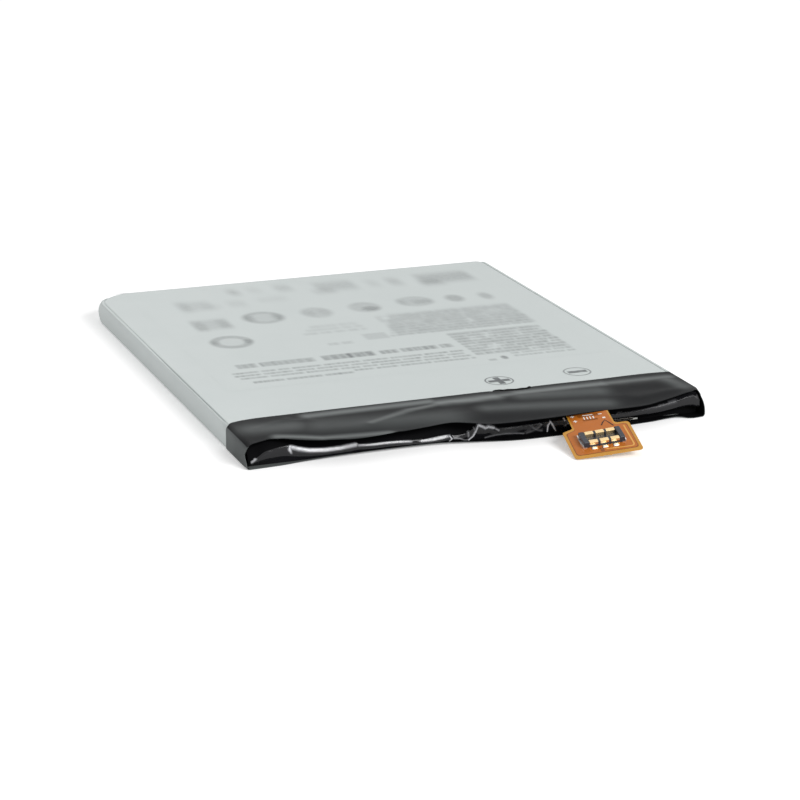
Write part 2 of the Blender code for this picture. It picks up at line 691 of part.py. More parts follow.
def narrow_tail(strip):
    """Steps the solder tail in, outside the housing."""
    edge = -HOUSING_WIDTH / 2 - BOND
    for cut in (edge, edge - CONTACT_TAIL_STEP):
        bmesh.ops.bisect_plane(strip, geom=strip.verts[:] + strip.edges[:] + strip.faces[:],
                               plane_co=(0.0, cut, 0.0), plane_no=(0.0, 1.0, 0.0))
    for vertex in strip.verts:
        if vertex.co.y < edge - BOND:
            vertex.co.x *= CONTACT_TAIL_WIDTH / CONTACT_WIDTH


def contact_places():
    """Each contact's number, place along the housing and row: 0 in front, 1 behind."""
    middle = (CONTACT_COUNT - 1) / 2
    for row in (0, 1):
        for index in range(CONTACT_COUNT):
            yield row * CONTACT_COUNT + index + 1, (index - middle) * CONTACT_PITCH, row


def contacts(gold, parent):
    """The gold contacts, and the slots that they leave in the housing."""
    slots = []
    for number, x, row in contact_places():
        place = Matrix.Translation((x, 0.0, 0.0)) @ Matrix.Rotation(math.pi * row, 4, "Z")
        strip = bent_strip(contact_path(), CONTACT_WIDTH, CONTACT_BEND)
        narrow_tail(strip)
        contact = add_part(f"contact_{number}", strip, gold, parent)
        contact.matrix_local = place
        thicken(contact, CONTACT_THICKNESS, 0.0)
        slot = add_cutter(f"contact_slot_{number}",
                          bent_strip(contact_path(BOND), CONTACT_WIDTH + 2 * BOND, CONTACT_BEND), parent)
        slot.matrix_local = place
        thicken(slot, CONTACT_THICKNESS + 2 * BOND, 0.0)
        slots.append(slot)
    return slots


def hold_down(side, tin, parent):
    """One end's solder lugs: a plate under the end block with two upturned corners."""
    outer = HOUSING_LENGTH / 2 + HOLD_DOWN_PROUD
    inner = HOUSING_LENGTH / 2 - HOLD_DOWN_DEPTH
    reach = HOUSING_WIDTH / 2 + HOLD_DOWN_PROUD / 2
    low = 2 * BOND
    plate = box((inner, -reach, low), (outer, reach, low + HOLD_DOWN_THICKNESS))
    name = "right" if side > 0 else "left"
    part = add_part(f"hold_down_{name}", plate, tin, parent)
    wall_inner = HOUSING_LENGTH / 2 + BOND
    for end in (-1, 1):
        near, far = sorted((end * reach, end * (reach - HOLD_DOWN_LUG)))
        lug = box((wall_inner, near, low + HOLD_DOWN_THICKNESS / 2), (outer, far, HOLD_DOWN_RISE))
        combine(part, add_cutter(f"lug_{name}_{'near' if end < 0 else 'far'}", lug, parent), "UNION")
    room = box((inner - BOND, -reach - CUT_MARGIN, -CUT_MARGIN),
               (outer + CUT_MARGIN, reach + CUT_MARGIN, low + HOLD_DOWN_THICKNESS + BOND))
    pocket = add_cutter(f"hold_down_pocket_{name}", room, parent)
    if side < 0:
        for piece in [part, pocket] + [step.object for step in part.modifiers]:
            piece.matrix_local = Matrix.Rotation(math.pi, 4, "Z")
    return pocket


def connector_housing(plastic, parent, slots):
    """The moulded housing: two end blocks, two lower contact walls and a cavity with dividers."""
    half_x, half_y = HOUSING_LENGTH / 2, HOUSING_WIDTH / 2
    block = box((-half_x, -half_y, 2 * BOND), (half_x, half_y, HOUSING_HEIGHT))
    round_edges(block, HOUSING_CHAMFER, 2, upright)
    round_edges(block, HOUSING_CHAMFER / 2, 1, level_at(HOUSING_HEIGHT))
    housing = add_part("connector_housing", block, plastic, parent)
    wall_x = half_x - END_BLOCK
    lowered = box((-wall_x, -half_y - CUT_MARGIN, WALL_TOP), (wall_x, half_y + CUT_MARGIN,
                                                             HOUSING_HEIGHT + CUT_MARGIN))
    combine(housing, add_cutter("wall_lowering", lowered, parent), "DIFFERENCE")
    cavity_y = half_y - WALL_THICKNESS
    cavity = box((-wall_x, -cavity_y, CAVITY_FLOOR), (wall_x, cavity_y, HOUSING_HEIGHT + CUT_MARGIN))
    combine(housing, add_cutter("cavity", cavity, parent), "DIFFERENCE")
    for index in range(CONTACT_COUNT - 1):
        x = (index - (CONTACT_COUNT - 2) / 2) * CONTACT_PITCH
        for side in (-1, 1):
            near, far = sorted((side * (cavity_y - DIVIDER_REACH), side * (cavity_y + 2 * BOND)))
            rib = box((x - DIVIDER_WIDTH / 2, near, CAVITY_FLOOR - 2 * BOND),
                      (x + DIVIDER_WIDTH / 2, far, WALL_TOP - BOND))
            name = f"divider_{index + 1}_{'near' if side < 0 else 'far'}"
            combine(housing, add_cutter(name, rib, parent), "UNION")
    for slot in slots:
        combine(housing, slot, "DIFFERENCE")


def connector(look):
    """The whole connector on the head, carried by one empty."""
    stand = bpy.data.objects.new("connector_stand", None)
    bpy.data.collections[PARTS].objects.link(stand)
    place = Matrix.Translation((HOUSING_ASIDE, HOUSING_FROM_FRONT, 0.0))
    stand.matrix_world = head_frame() @ place @ Matrix.Rotation(HOUSING_YAW, 4, "Z")
    slots = contacts(look["gold"], stand)
    slots += [hold_down(side, look["tin"], stand) for side in (-1, 1)]
    connector_housing(look["housing"], stand, slots)


def stiffener(look):
    """The stiffener is carried by an empty at the head's front edge."""
    stand = bpy.data.objects.new("head_stand", None)
    bpy.data.collections[PARTS].objects.link(stand)
    stand.matrix_world = head_frame()
    head_stiffener(look["stiffener"], stand)


# Tapes

def foot_lift(x):
    return max(through_knots(FOOT_KNOTS, x / EDGE_UNIT, 2), 0.0) * EDGE_UNIT


def board_tape_row(x):
    """The glossy tape's middle line at one place across the pack, from its rear edge to its foot."""
    top = CELL_THICKNESS + BOND + BOARD_TAPE / 2
    foot_y = TERRACE_FRONT + BOARD_TAPE_FALL[-1][0] * EDGE_UNIT
    edges = sleeve_edges(x, -BOND)
    fall = top - BOARD_TAPE_FOOT - edges[2] * freedom(foot_y, edges)
    ripple = BOARD_TAPE_RIPPLE * (math.sin(math.tau * x / LONG_RIPPLE)
                                  + math.sin(math.tau * x / SHORT_RIPPLE + 1.0) / 2)
    end = smooth((abs(x) - BOARD_TAPE_HALF + BOARD_TAPE_END) / (2 * BOARD_TAPE_END)) * 2
    rear = MOUTH_Y + through_knots(BOARD_TAPE_REAR_KNOTS, x / EDGE_UNIT) * EDGE_UNIT
    row = [(x, rear, top), (x, CELL_FRONT + TOP_EDGE_RADIUS, top)]
    for behind, fallen, rippled, set_back in BOARD_TAPE_FALL:
        y = TERRACE_FRONT + behind * EDGE_UNIT + end * BOARD_TAPE_END_BACK * set_back
        row.append((x, y, top - fall * fallen + ripple * rippled))
    return row


def board_tape(film):
    """The glossy tape: flat on the pouch, over the board and down in front of it."""
    half = BOARD_TAPE_HALF
    places = [-half + 2 * half * i / TAPE_COLUMNS for i in range(TAPE_COLUMNS + 1)]
    places += [knot[0] * EDGE_UNIT for knot in BOARD_TAPE_REAR_KNOTS if abs(knot[0]) * EDGE_UNIT < half]
    places += [side * (half - BOARD_TAPE_END / 2) for side in (-1, 1)]
    tape = add_part("board_tape", surface([board_tape_row(x) for x in sorted(places)]), film)
    thicken(tape, BOARD_TAPE, 0.0)
    slot = box((NECK_LEFT - SLOT_MARGIN, -SLOT_REACH, -TAIL_THICKNESS - SLOT_MARGIN),
               (NECK_RIGHT + SLOT_MARGIN, SLOT_REACH, SLOT_MARGIN))
    opening = add_cutter("tail_slot", slot)
    lengths = [length for length, turn in tail_bends()]
    opening.matrix_world = tail_frame(sum(lengths[:2]) + lengths[2] / 2)
    combine(tape, opening, "DIFFERENCE")


def sleeve_loop(right_radius, left_radius, foot_radius):
    """The sleeve's inner section as (x, z) points, clockwise from the upper right corner."""
    half = HALF_WIDTH - SLEEVE_TAPE
    low, high = -BOND, SLEEVE_INNER_TOP
    corners = (
        (half - right_radius, high - right_radius, right_radius, 90.0, 4),
        (half - foot_radius, low + foot_radius, foot_radius, 0.0, 2),
        (foot_radius - half, low + foot_radius, foot_radius, -90.0, 2),
        (left_radius - half, high - left_radius, left_radius, -180.0, 4),
    )
    counts = (SLEEVE_SIDE_ROWS, SLEEVE_FOOT_COLUMNS, SLEEVE_SIDE_ROWS, SLEEVE_TOP_COLUMNS)
    points = []
    for (x, z, radius, start, steps), (following, count) in zip(
            corners, zip(corners[1:] + corners[:1], counts)):
        for step in range(steps + 1):
            angle = math.radians(start - 90.0 * step / steps)
            points.append((x + radius * math.cos(angle), z + radius * math.sin(angle)))
        angle = math.radians(following[3])
        target_x = following[0] + following[2] * math.cos(angle)
        target_z = following[1] + following[2] * math.sin(angle)
        last_x, last_z = points[-1]
        for step in range(1, count):
            share = step / count
            points.append((last_x + (target_x - last_x) * share, last_z + (target_z - last_z) * share))
    return points


def sleeve_edges(x, z):
    """The sleeve's rear edge, front edge, sag and where it comes free, at a point of its section."""
    height = (z + BOND) / (SLEEVE_INNER_TOP + BOND)
    lip = through_knots(LIP_KNOTS, x / EDGE_UNIT) * EDGE_UNIT
    foot = through_knots(FOOT_KNOTS, x / EDGE_UNIT) * EDGE_UNIT
    upper = height
    if abs(x) < HALF_WIDTH - SLEEVE_CORNER_ZONE:
        upper = smooth((height - 1 + SLEEVE_UPPER_SHARE) / SLEEVE_UPPER_SHARE)
    front = MOUTH_Y - (foot + (lip - foot) * upper)
    sag = -through_knots(LIP_KNOTS, x / EDGE_UNIT, 2) * EDGE_UNIT * upper + foot_lift(x) * (1 - upper)
    on_top = smooth((height - 1 + SLEEVE_TOP_SHARE) / SLEEVE_TOP_SHARE)
    rear = MOUTH_Y + SLEEVE_SIDE_REAR
    rear += (MOUTH_Y + through_knots(SLEEVE_REAR_KNOTS, x / EDGE_UNIT) * EDGE_UNIT - rear) * on_top
    return rear, front, sag, TERRACE_FRONT - BOND + SLEEVE_FREE_TOP * upper


def freedom(y, edges):
    """How far the sleeve has come free at a place: 0 tight on the pack, 1 at its front edge."""
    rear, front, sag, free_from = edges
    return smooth((free_from - y) / (free_from - front))


def end_sleeve(tape):
    """The matt tape round the pack's end: a thin sleeve with an open, wavy mouth."""
    tight = sleeve_loop(SLEEVE_TIGHT_TOP, SLEEVE_TIGHT_TOP, SLEEVE_TIGHT_FOOT)
    loose = sleeve_loop(SLEEVE_LOOSE_RIGHT, SLEEVE_LOOSE_LEFT, SLEEVE_LOOSE_FOOT)
    rows = []
    for share in SLEEVE_STATIONS:
        row = []
        for (x, z), (wide_x, wide_z) in zip(tight, loose):
            edges = sleeve_edges(x, z)
            rear, front, sag, free_from = edges
            y = rear + (front - rear) * share
            free = freedom(y, edges)
            row.append((x + (wide_x - x) * free, y, z + (wide_z - z + sag) * free))
        rows.append(row)
    sleeve = add_part("end_sleeve", surface(rows, closed=True), tape)
    thicken(sleeve, SLEEVE_TAPE, 1.0)


# Assembly

def looks():
    return {
        "foil": finish("silver_grey_foil", (0.58, 0.62, 0.615), 0.42, 0.15),
        "aluminium": finish("aluminium_tab", (0.80, 0.81, 0.82), 0.35, 1.0),
        "nickel": finish("nickel", (0.66, 0.63, 0.58), 0.35, 1.0),
        "film": finish("tab_sealing_film", (0.82, 0.83, 0.80), 0.5),
        "polyimide": finish("polyimide_strip", (0.62, 0.30, 0.06), 0.35),
        "foam": finish("black_foam", (0.03, 0.03, 0.03), 0.9),
        "mask": finish("green_solder_mask", (0.02, 0.16, 0.07), 0.4),
        "moulding": finish("black_moulding", (0.02, 0.02, 0.022), 0.5),
        "ceramic": finish("pale_ceramic", (0.72, 0.70, 0.66), 0.5),
        "capacitor": finish("tan_capacitor", (0.42, 0.30, 0.20), 0.5),
        "resistor": finish("black_resistor", (0.03, 0.03, 0.035), 0.4),
        "flex": finish("orange_flexible_print", (0.52, 0.16, 0.035), 0.35),
        "stiffener": finish("amber_stiffener", (0.55, 0.32, 0.06), 0.4),
        "housing": finish("slate_housing", (0.025, 0.03, 0.045), 0.45),
        "gold": finish("gold_plating", (0.95, 0.62, 0.22), 0.25, 1.0),
        "tin": finish("tin_plating", (0.80, 0.80, 0.80), 0.35, 1.0),
        "board_tape": finish("glossy_black_tape", (0.012, 0.012, 0.014), 0.12),
        "sleeve": finish("dark_grey_tape", (0.055, 0.057, 0.06), 0.38),
    }


def main():
    clear_scene()
    collection(PARTS)
    collection(CUTTERS)
    look = looks()
    pouch_cell(look["foil"])
    terrace_packing(look)
    for name, x, metal in (("positive", POSITIVE_TAB_X, look["aluminium"]),
                           ("negative", NEGATIVE_TAB_X, look["nickel"])):
        cell_tab(name, x, {"tab": metal, "film": look["film"], "nickel": look["nickel"]})
    protection_board(look["mask"])
    board_components(look)
    flex_tail(look["flex"])
    stiffener(look)
    connector(look)
    board_tape(look["board_tape"])
    end_sleeve(look["sleeve"])


main()
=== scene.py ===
"""Dressed model of a phone's lithium-polymer battery pack, lying flat.

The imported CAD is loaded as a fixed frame. Each sub-assembly below builds its finer
pieces over that frame: the foil pouch with its print, the matt end sleeve, the glossy
tape over the protection board, the flexible tail and the six-contact board connector.
"""

import logging
import math
import random
from collections.abc import Callable, Sequence
from dataclasses import dataclass, field
from enum import Enum

import bmesh
import bpy
from mathutils import Matrix, Vector, noise


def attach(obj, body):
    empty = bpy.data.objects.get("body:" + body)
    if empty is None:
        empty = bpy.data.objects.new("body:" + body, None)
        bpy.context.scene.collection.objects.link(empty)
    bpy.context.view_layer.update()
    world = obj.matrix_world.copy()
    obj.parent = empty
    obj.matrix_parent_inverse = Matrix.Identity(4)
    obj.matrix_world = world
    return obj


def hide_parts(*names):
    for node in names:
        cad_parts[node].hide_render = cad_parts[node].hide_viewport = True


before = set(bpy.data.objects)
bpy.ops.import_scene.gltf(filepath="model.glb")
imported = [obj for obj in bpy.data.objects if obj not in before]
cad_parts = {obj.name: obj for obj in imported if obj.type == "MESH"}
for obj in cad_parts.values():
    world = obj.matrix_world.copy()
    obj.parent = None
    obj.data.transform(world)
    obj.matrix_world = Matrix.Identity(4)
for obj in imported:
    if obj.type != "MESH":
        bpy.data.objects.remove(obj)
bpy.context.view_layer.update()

LOG = logging.getLogger("battery_pack")
MM = 0.001
ROOT = "root"

Knots = Sequence[tuple[float, ...]]
Colour = tuple[float, float, float]


# Shared measures, in millimetres, as in the part's source


class Pack:
    """Places that several sub-assemblies share, in millimetres."""

    HALF_WIDTH = 31.0
    FAR_Y = 37.5
    MOUTH_Y = -37.5
    CELL_TOP = 3.15
    CELL_FRONT = -32.4
    TERRACE_FRONT = -35.6
    BOARD_TOP = 1.65
    BOARD_BACK = -32.55
    BOND = 0.01


def through_knots(knots: Knots, x: float, column: int = 1) -> float:
    """Reads a smooth curve through knots, with straight ends.

    Args:
        knots: rows of (x, value, ...), in rising x.
        x: where the curve is read.
        column: which value of a row is read.

    Returns:
        The value at x.
    """
    if x <= knots[0][0]:
        return knots[0][column]
    if x >= knots[-1][0]:
        return knots[-1][column]
    span = next(i for i in range(len(knots) - 1) if x <= knots[i + 1][0])
    low, high = knots[span], knots[span + 1]
    width = high[0] - low[0]

    def slope(index: int) -> float:
        """Gives the curve's slope at one knot."""
        before = knots[max(index - 1, 0)]
        after = knots[min(index + 1, len(knots) - 1)]
        return (after[column] - before[column]) / (after[0] - before[0])

    t = (x - low[0]) / width
    return (low[column] * (2 * t**3 - 3 * t**2 + 1) + high[column] * (3 * t**2 - 2 * t**3)
            + slope(span) * width * (t**3 - 2 * t**2 + t)
            + slope(span + 1) * width * (t**3 - t**2))


def smooth(t: float) -> float:
    """Eases t from 0 to 1, and holds it there outside."""
    t = min(max(t, 0.0), 1.0)
    return t * t * (3 - 2 * t)


def bell(distance: float, width: float) -> float:
    """Gives a bell curve's height at a distance from its middle."""
    return math.exp(-(distance / width) ** 2)


def soft_box(distance: float, half: float, blur: float) -> float:
    """Gives a box's height at a distance from its middle, its two sides softened over a blur."""
    return (smooth((distance + half) / (2 * blur) + 0.5)
            - smooth((distance - half) / (2 * blur) + 0.5))


def from_line(point: Vector, start: Vector, end: Vector) -> float:
    """Measures how far a point is from a straight line that ends.

    Args:
        point: the point, in a plane.
        start: the line's start.
        end: the line's end.

    Returns:
        The distance from the line's nearest point.
    """
    along = end - start
    share = min(max((point - start).dot(along) / along.length_squared, 0.0), 1.0)
    return (point - start - along * share).length


# Finishes


class Tree:
    """A material's node tree, with short calls that add and join nodes."""

    def __init__(self, name: str) -> None:
        """Starts a material that has only its shader."""
        self.material = bpy.data.materials.new(name)
        self.material.use_nodes = True
        self.nodes = self.material.node_tree.nodes
        self.links = self.material.node_tree.links
        self.shader = self.nodes["Principled BSDF"]

    def add(self, kind: str, **values: object) -> bpy.types.Node:
        """Adds one node.

        Args:
            kind: the node's type, without its prefix ShaderNode.
            values: settings of the node, or values of its sockets with spaces as _.

        Returns:
            The node.
        """
        node = self.nodes.new(f"ShaderNode{kind}")
        for key, value in values.items():
            if key in node.bl_rna.properties:
                setattr(node, key, value)
            else:
                node.inputs[key.replace("_", " ")].default_value = value
        return node

    def join(self, source: bpy.types.NodeSocket, target: bpy.types.NodeSocket) -> None:
        """Links one socket to another."""
        self.links.new(source, target)

    def place(self, stretch: tuple[float, float, float] = (1.0, 1.0, 1.0)) -> bpy.types.NodeSocket:
        """Gives the piece's own Object coordinates.

        Args:
            stretch: how many times each direction is stretched.

        Returns:
            The socket of the stretched coordinates.
        """
        coordinates = self.add("TexCoord")
        mapping = self.add("Mapping", Scale=stretch)
        self.join(coordinates.outputs["Object"], mapping.inputs["Vector"])
        return mapping.outputs["Vector"]

    def cloud(self, place: bpy.types.NodeSocket, size: float) -> bpy.types.NodeSocket:
        """Gives a cloudy pattern.

        Args:
            place: the coordinates that it lies on.
            size: its patches' usual size in metres.

        Returns:
            The pattern's socket, from 0 to 1.
        """
        node = self.add("TexNoise", Scale=1.0 / size, Detail=3.0, Roughness=0.55)
        self.join(place, node.inputs["Vector"])
        return node.outputs["Fac"]

    def between(self, factor: bpy.types.NodeSocket, low: Colour,
                high: Colour) -> bpy.types.NodeSocket:
        """Mixes two colours.

        Args:
            factor: the socket that mixes them, from 0 to 1.
            low: the colour at 0.
            high: the colour at 1.

        Returns:
            The mixed colour's socket.
        """
        node = self.add("Mix", data_type="RGBA")
        node.inputs[6].default_value = (*low, 1.0)
        node.inputs[7].default_value = (*high, 1.0)
        self.join(factor, node.inputs[0])
        return node.outputs[2]

    def spread(self, factor: bpy.types.NodeSocket, low: float, high: float,
               start: float = 0.3, end: float = 0.7) -> bpy.types.NodeSocket:
        """Maps a pattern's usual range to another.

        Args:
            factor: the pattern's socket.
            low: the value at the range's start.
            high: the value at its end.
            start: where the pattern's range starts.
            end: where it ends.

        Returns:
            The mapped value's socket.
        """
        node = self.add("MapRange", From_Min=start, From_Max=end, To_Min=low, To_Max=high)
        self.join(factor, node.inputs["Value"])
        return node.outputs["Result"]

    def relief(self, height: bpy.types.NodeSocket, depth: float) -> None:
        """Bumps the shader's surface.

        Args:
            height: the pattern's socket.
            depth: how deep the pattern is in metres.
        """
        bump = self.add("Bump", Distance=depth, Strength=1.0)
        self.join(height, bump.inputs["Height"])
        self.join(bump.outputs["Normal"], self.shader.inputs["Normal"])


@dataclass(frozen=True)
class Finish:
    """A surface finish: two close tones, a gloss range and fine relief, all in metres."""

    name: str
    tone: Colour
    second: Colour
    gloss: tuple[float, float] = (0.4, 0.5)
    metallic: float = 0.0
    specular: float = 0.5
    patch: float = 0.004
    grain: float = 0.0002
    depth: float = 0.000002
    stretch: tuple[float, float, float] = (1.0, 1.0, 1.0)

    def colour(self, tree: Tree, place: bpy.types.NodeSocket) -> bpy.types.NodeSocket:
        """Drifts between the two tones in soft patches.

        Args:
            tree: the material's node tree.
            place: the socket of the piece's coordinates.

        Returns:
            The colour's socket.
        """
        return tree.between(tree.cloud(place, self.patch), self.tone, self.second)

    def make(self) -> bpy.types.Material:
        """Builds the material.

        Returns:
            A node-based material on the piece's own Object coordinates.
        """
        tree = Tree(self.name)
        place = tree.place(self.stretch)
        tree.join(self.colour(tree, place), tree.shader.inputs["Base Color"])
        tree.join(tree.spread(tree.cloud(place, self.patch * 0.6), *self.gloss),
                  tree.shader.inputs["Roughness"])
        tree.shader.inputs["Metallic"].default_value = self.metallic
        tree.shader.inputs["Specular IOR Level"].default_value = self.specular
        tree.relief(tree.cloud(place, self.grain), self.depth)
        return tree.material


@dataclass(frozen=True)
class MarkedFinish(Finish):
    """A finish with a second colour wherever a piece's mark attribute says so: print on the foil,
    painted sheen on the sleeve and painted highlight on the glossy tape.
    """

    mark: Colour = (0.07, 0.08, 0.085)
    mark_range: tuple[float, float] = (0.75, 1.0)
    speck: float = 0.0006

    def colour(self, tree: Tree, place: bpy.types.NodeSocket) -> bpy.types.NodeSocket:
        """Lays the marks over the finish's own tones.

        Args:
            tree: the material's node tree.
            place: the socket of the piece's coordinates.

        Returns:
            The colour's socket.
        """
        plain = super().colour(tree, place)
        # The mark is real print on the foil, and painted sheen and painted highlight on the sleeve
        # and the glossy tape
        amount = tree.add("Attribute", attribute_name="mark")
        patchy_strength = tree.spread(tree.cloud(place, self.speck), *self.mark_range)
        marked = tree.add("Math", operation="MULTIPLY")
        tree.join(amount.outputs["Fac"], marked.inputs[0])
        tree.join(patchy_strength, marked.inputs[1])
        mix = tree.add("Mix", data_type="RGBA")
        mix.inputs[7].default_value = (*self.mark, 1.0)
        tree.join(marked.outputs[0], mix.inputs[0])
        tree.join(plain, mix.inputs[6])
        return mix.outputs[2]


class Finishes:
    """Every finish of the pack, made once."""

    FOIL = MarkedFinish("pouch_foil", (0.565, 0.612, 0.606), (0.585, 0.628, 0.620), (0.42, 0.5),
                        metallic=0.1, specular=0.3, patch=0.012, grain=0.00012, depth=0.0000015)
    # The sleeve's mark colour is painted sheen: a lighter tone laid where highlights fall and on
    # its lit sides
    SLEEVE = MarkedFinish("sleeve_tape", (0.011, 0.0115, 0.0125), (0.016, 0.017, 0.018),
                          (0.28, 0.38), specular=0.012, patch=0.006, grain=0.00035, depth=0.000003,
                          mark=(0.265, 0.286, 0.284), mark_range=(0.92, 1.0), speck=0.004)
    # The sleeve's adhesive inside; on the glossy tape the same dark dull finish is painted shade
    # where the tape lies in shadow
    ADHESIVE_AND_PAINTED_SHADE = Finish("adhesive_and_painted_shade", (0.003, 0.003, 0.0035), (0.005, 0.005, 0.0055),
                           (0.6, 0.75), specular=0.02)
    # The glossy tape's mark colour is painted highlight: white lines along its folds and creases
    GLOSSY = MarkedFinish("glossy_tape", (0.006, 0.006, 0.007), (0.009, 0.009, 0.011), (0.09, 0.17),
                          specular=0.34, patch=0.003, grain=0.0006, depth=0.000003,
                          mark=(0.95, 0.96, 1.0), mark_range=(0.75, 1.0), speck=0.0004)
    COVERLAY = Finish("orange_coverlay", (0.440, 0.122, 0.012), (0.500, 0.148, 0.018), (0.30, 0.42),
                      specular=0.25, patch=0.0016, grain=0.00012, depth=0.000002)
    BASE_FILM = Finish("amber_base_film", (0.52, 0.235, 0.020), (0.60, 0.29, 0.035), (0.22, 0.34),
                       specular=0.3, patch=0.0012)
    TRACE = Finish("copper_under_film", (0.68, 0.33, 0.06), (0.76, 0.40, 0.08), (0.28, 0.36),
                   specular=0.4, patch=0.001)
    GAP = Finish("etched_gap", (0.030, 0.012, 0.007), (0.050, 0.020, 0.010), (0.4, 0.5),
                 specular=0.2)
    BROWN = Finish("copper_shadow", (0.20, 0.055, 0.014), (0.25, 0.075, 0.018), (0.35, 0.45),
                   specular=0.3)
    SOLDER = Finish("bright_solder", (0.60, 0.60, 0.59), (0.80, 0.80, 0.79), (0.30, 0.45),
                    metallic=0.9, patch=0.0003, grain=0.00012, depth=0.000008)
    WHITE_INK = Finish("white_ink", (0.80, 0.78, 0.74), (0.88, 0.86, 0.82), (0.5, 0.6),
                       patch=0.0006)
    STIFFENER = Finish("amber_stiffener", (0.52, 0.30, 0.06), (0.60, 0.36, 0.08), (0.4, 0.5))
    HOUSING = Finish("slate_moulding", (0.022, 0.026, 0.037), (0.034, 0.038, 0.050), (0.34, 0.46),
                     specular=0.4, patch=0.0008, grain=0.00006, depth=0.000001)
    GOLD = Finish("gold_plating", (0.92, 0.66, 0.32), (0.97, 0.76, 0.44), (0.20, 0.32),
                  metallic=1.0, patch=0.0005, grain=0.0001, depth=0.000001)
    TIN = Finish("tin_plating", (0.70, 0.70, 0.69), (0.82, 0.82, 0.81), (0.26, 0.42), metallic=1.0,
                 patch=0.0004, grain=0.0001, depth=0.000002)
    SOLDER_MASK = Finish("green_solder_mask", (0.014, 0.12, 0.05), (0.022, 0.17, 0.07),
                         (0.25, 0.35))
    FOAM = Finish("black_foam", (0.020, 0.020, 0.020), (0.034, 0.034, 0.034), (0.85, 0.95),
                  specular=0.1, patch=0.0006, grain=0.00015, depth=0.00003)
    POLYIMIDE = Finish("polyimide_strip", (0.55, 0.24, 0.03), (0.62, 0.30, 0.05), (0.2, 0.3))
    TAB_ALUMINIUM = Finish("rolled_aluminium", (0.76, 0.77, 0.78), (0.84, 0.85, 0.86), (0.28, 0.4),
                           metallic=1.0, patch=0.0008, stretch=(6.0, 1.0, 1.0))
    NICKEL = Finish("rolled_nickel", (0.58, 0.55, 0.50), (0.68, 0.65, 0.60), (0.28, 0.4),
                    metallic=1.0, patch=0.0008, stretch=(6.0, 1.0, 1.0))
    TAB_FILM = Finish("milky_sealing_film", (0.74, 0.76, 0.72), (0.82, 0.83, 0.80), (0.4, 0.5))
    CHIP = Finish("moulded_chip", (0.016, 0.016, 0.018), (0.026, 0.026, 0.028), (0.45, 0.6),
                  patch=0.0008, grain=0.00008, depth=0.000003)
    CERAMIC = Finish("glazed_ceramic", (0.66, 0.64, 0.60), (0.76, 0.74, 0.70), (0.3, 0.45),
                     patch=0.001)
    RESISTOR = Finish("glass_coated_resistor", (0.02, 0.02, 0.024), (0.04, 0.04, 0.045),
                      (0.2, 0.35), patch=0.0006)
    CAPACITOR = Finish("fired_capacitor", (0.36, 0.24, 0.15), (0.46, 0.33, 0.22), (0.4, 0.55),
                       patch=0.0006)

    _made: dict[str, bpy.types.Material] = {}

    @classmethod
    def of(cls, finish: Finish) -> bpy.types.Material:
        """Gives a finish's material, made at its first use.

        Args:
            finish: the finish.

        Returns:
            Its only material.
        """
        if finish.name not in cls._made:
            cls._made[finish.name] = finish.make()
        return cls._made[finish.name]


# Making pieces


def grid(columns: int, rows: int, place: Callable[[float, float], Vector]) -> bmesh.types.BMesh:
    """Makes a sheet of quads and lays each point of it.

    Args:
        columns: quads across.
        rows: quads along.
        place: gives a point's place from its shares across and along, each from 0 to 1.

    Returns:
        The laid sheet, its doubles merged.
    """
    shape = bmesh.new()
    bmesh.ops.create_grid(shape, x_segments=columns, y_segments=rows, size=0.5)
    low = min(v.co.x for v in shape.verts)
    high = max(v.co.x for v in shape.verts)
    for vertex in shape.verts:
        across = (vertex.co.x - low) / (high - low)
        along = (vertex.co.y - low) / (high - low)
        vertex.co = place(across, along)
    bmesh.ops.remove_doubles(shape, verts=shape.verts, dist=1e-8)
    bmesh.ops.recalc_face_normals(shape, faces=shape.faces)
    return shape


def slab(low: Sequence[float], high: Sequence[float]) -> bmesh.types.BMesh:
    """Makes a block.

    Args:
        low: its lowest corner in millimetres.
        high: its highest corner in millimetres.

    Returns:
        The block.
    """
    shape = bmesh.new()
    bmesh.ops.create_cube(shape, size=1.0)
    low_point, high_point = Vector(low) * MM, Vector(high) * MM
    bmesh.ops.scale(shape, vec=high_point - low_point, verts=shape.verts)
    bmesh.ops.translate(shape, vec=(low_point + high_point) / 2, verts=shape.verts)
    return shape


def round_edges(shape: bmesh.types.BMesh, radius: float, segments: int,
                wanted: Callable[[Vector, Vector], bool]) -> None:
    """Bevels the edges that a test accepts.

    Args:
        shape: the shape, changed in place.
        radius: the bevel's width in millimetres.
        segments: the bevel's steps.
        wanted: says whether the edge between two points is bevelled.
    """
    edges = [edge for edge in shape.edges if wanted(*(v.co for v in edge.verts))]
    bmesh.ops.bevel(shape, geom=edges, offset=radius * MM, segments=segments, profile=0.5,
                    affect="EDGES", material=-1, clamp_overlap=True)


def upright(a: Vector, b: Vector) -> bool:
    """Says whether an edge is upright."""
    return (a.xy - b.xy).length < 1e-7


def level_at(height: float) -> Callable[[Vector, Vector], bool]:
    """Makes a test for edges that lie level at a height in millimetres."""
    return lambda a, b: abs(a.z - height * MM) < 1e-7 and abs(b.z - height * MM) < 1e-7


def plate(outline: Sequence[tuple[float, float]], bottom: float, top: float) -> bmesh.types.BMesh:
    """Extrudes an outline between two levels.

    Args:
        outline: the outline's points in millimetres.
        bottom: the lower level in millimetres.
        top: the upper level in millimetres.

    Returns:
        The closed plate.
    """
    shape = bmesh.new()
    face = shape.faces.new([shape.verts.new((x * MM, y * MM, bottom * MM)) for x, y in outline])
    grown = bmesh.ops.extrude_face_region(shape, geom=[face])
    moved = [item for item in grown["geom"] if isinstance(item, bmesh.types.BMVert)]
    bmesh.ops.translate(shape, vec=(0.0, 0.0, (top - bottom) * MM), verts=moved)
    bmesh.ops.recalc_face_normals(shape, faces=shape.faces)
    return shape


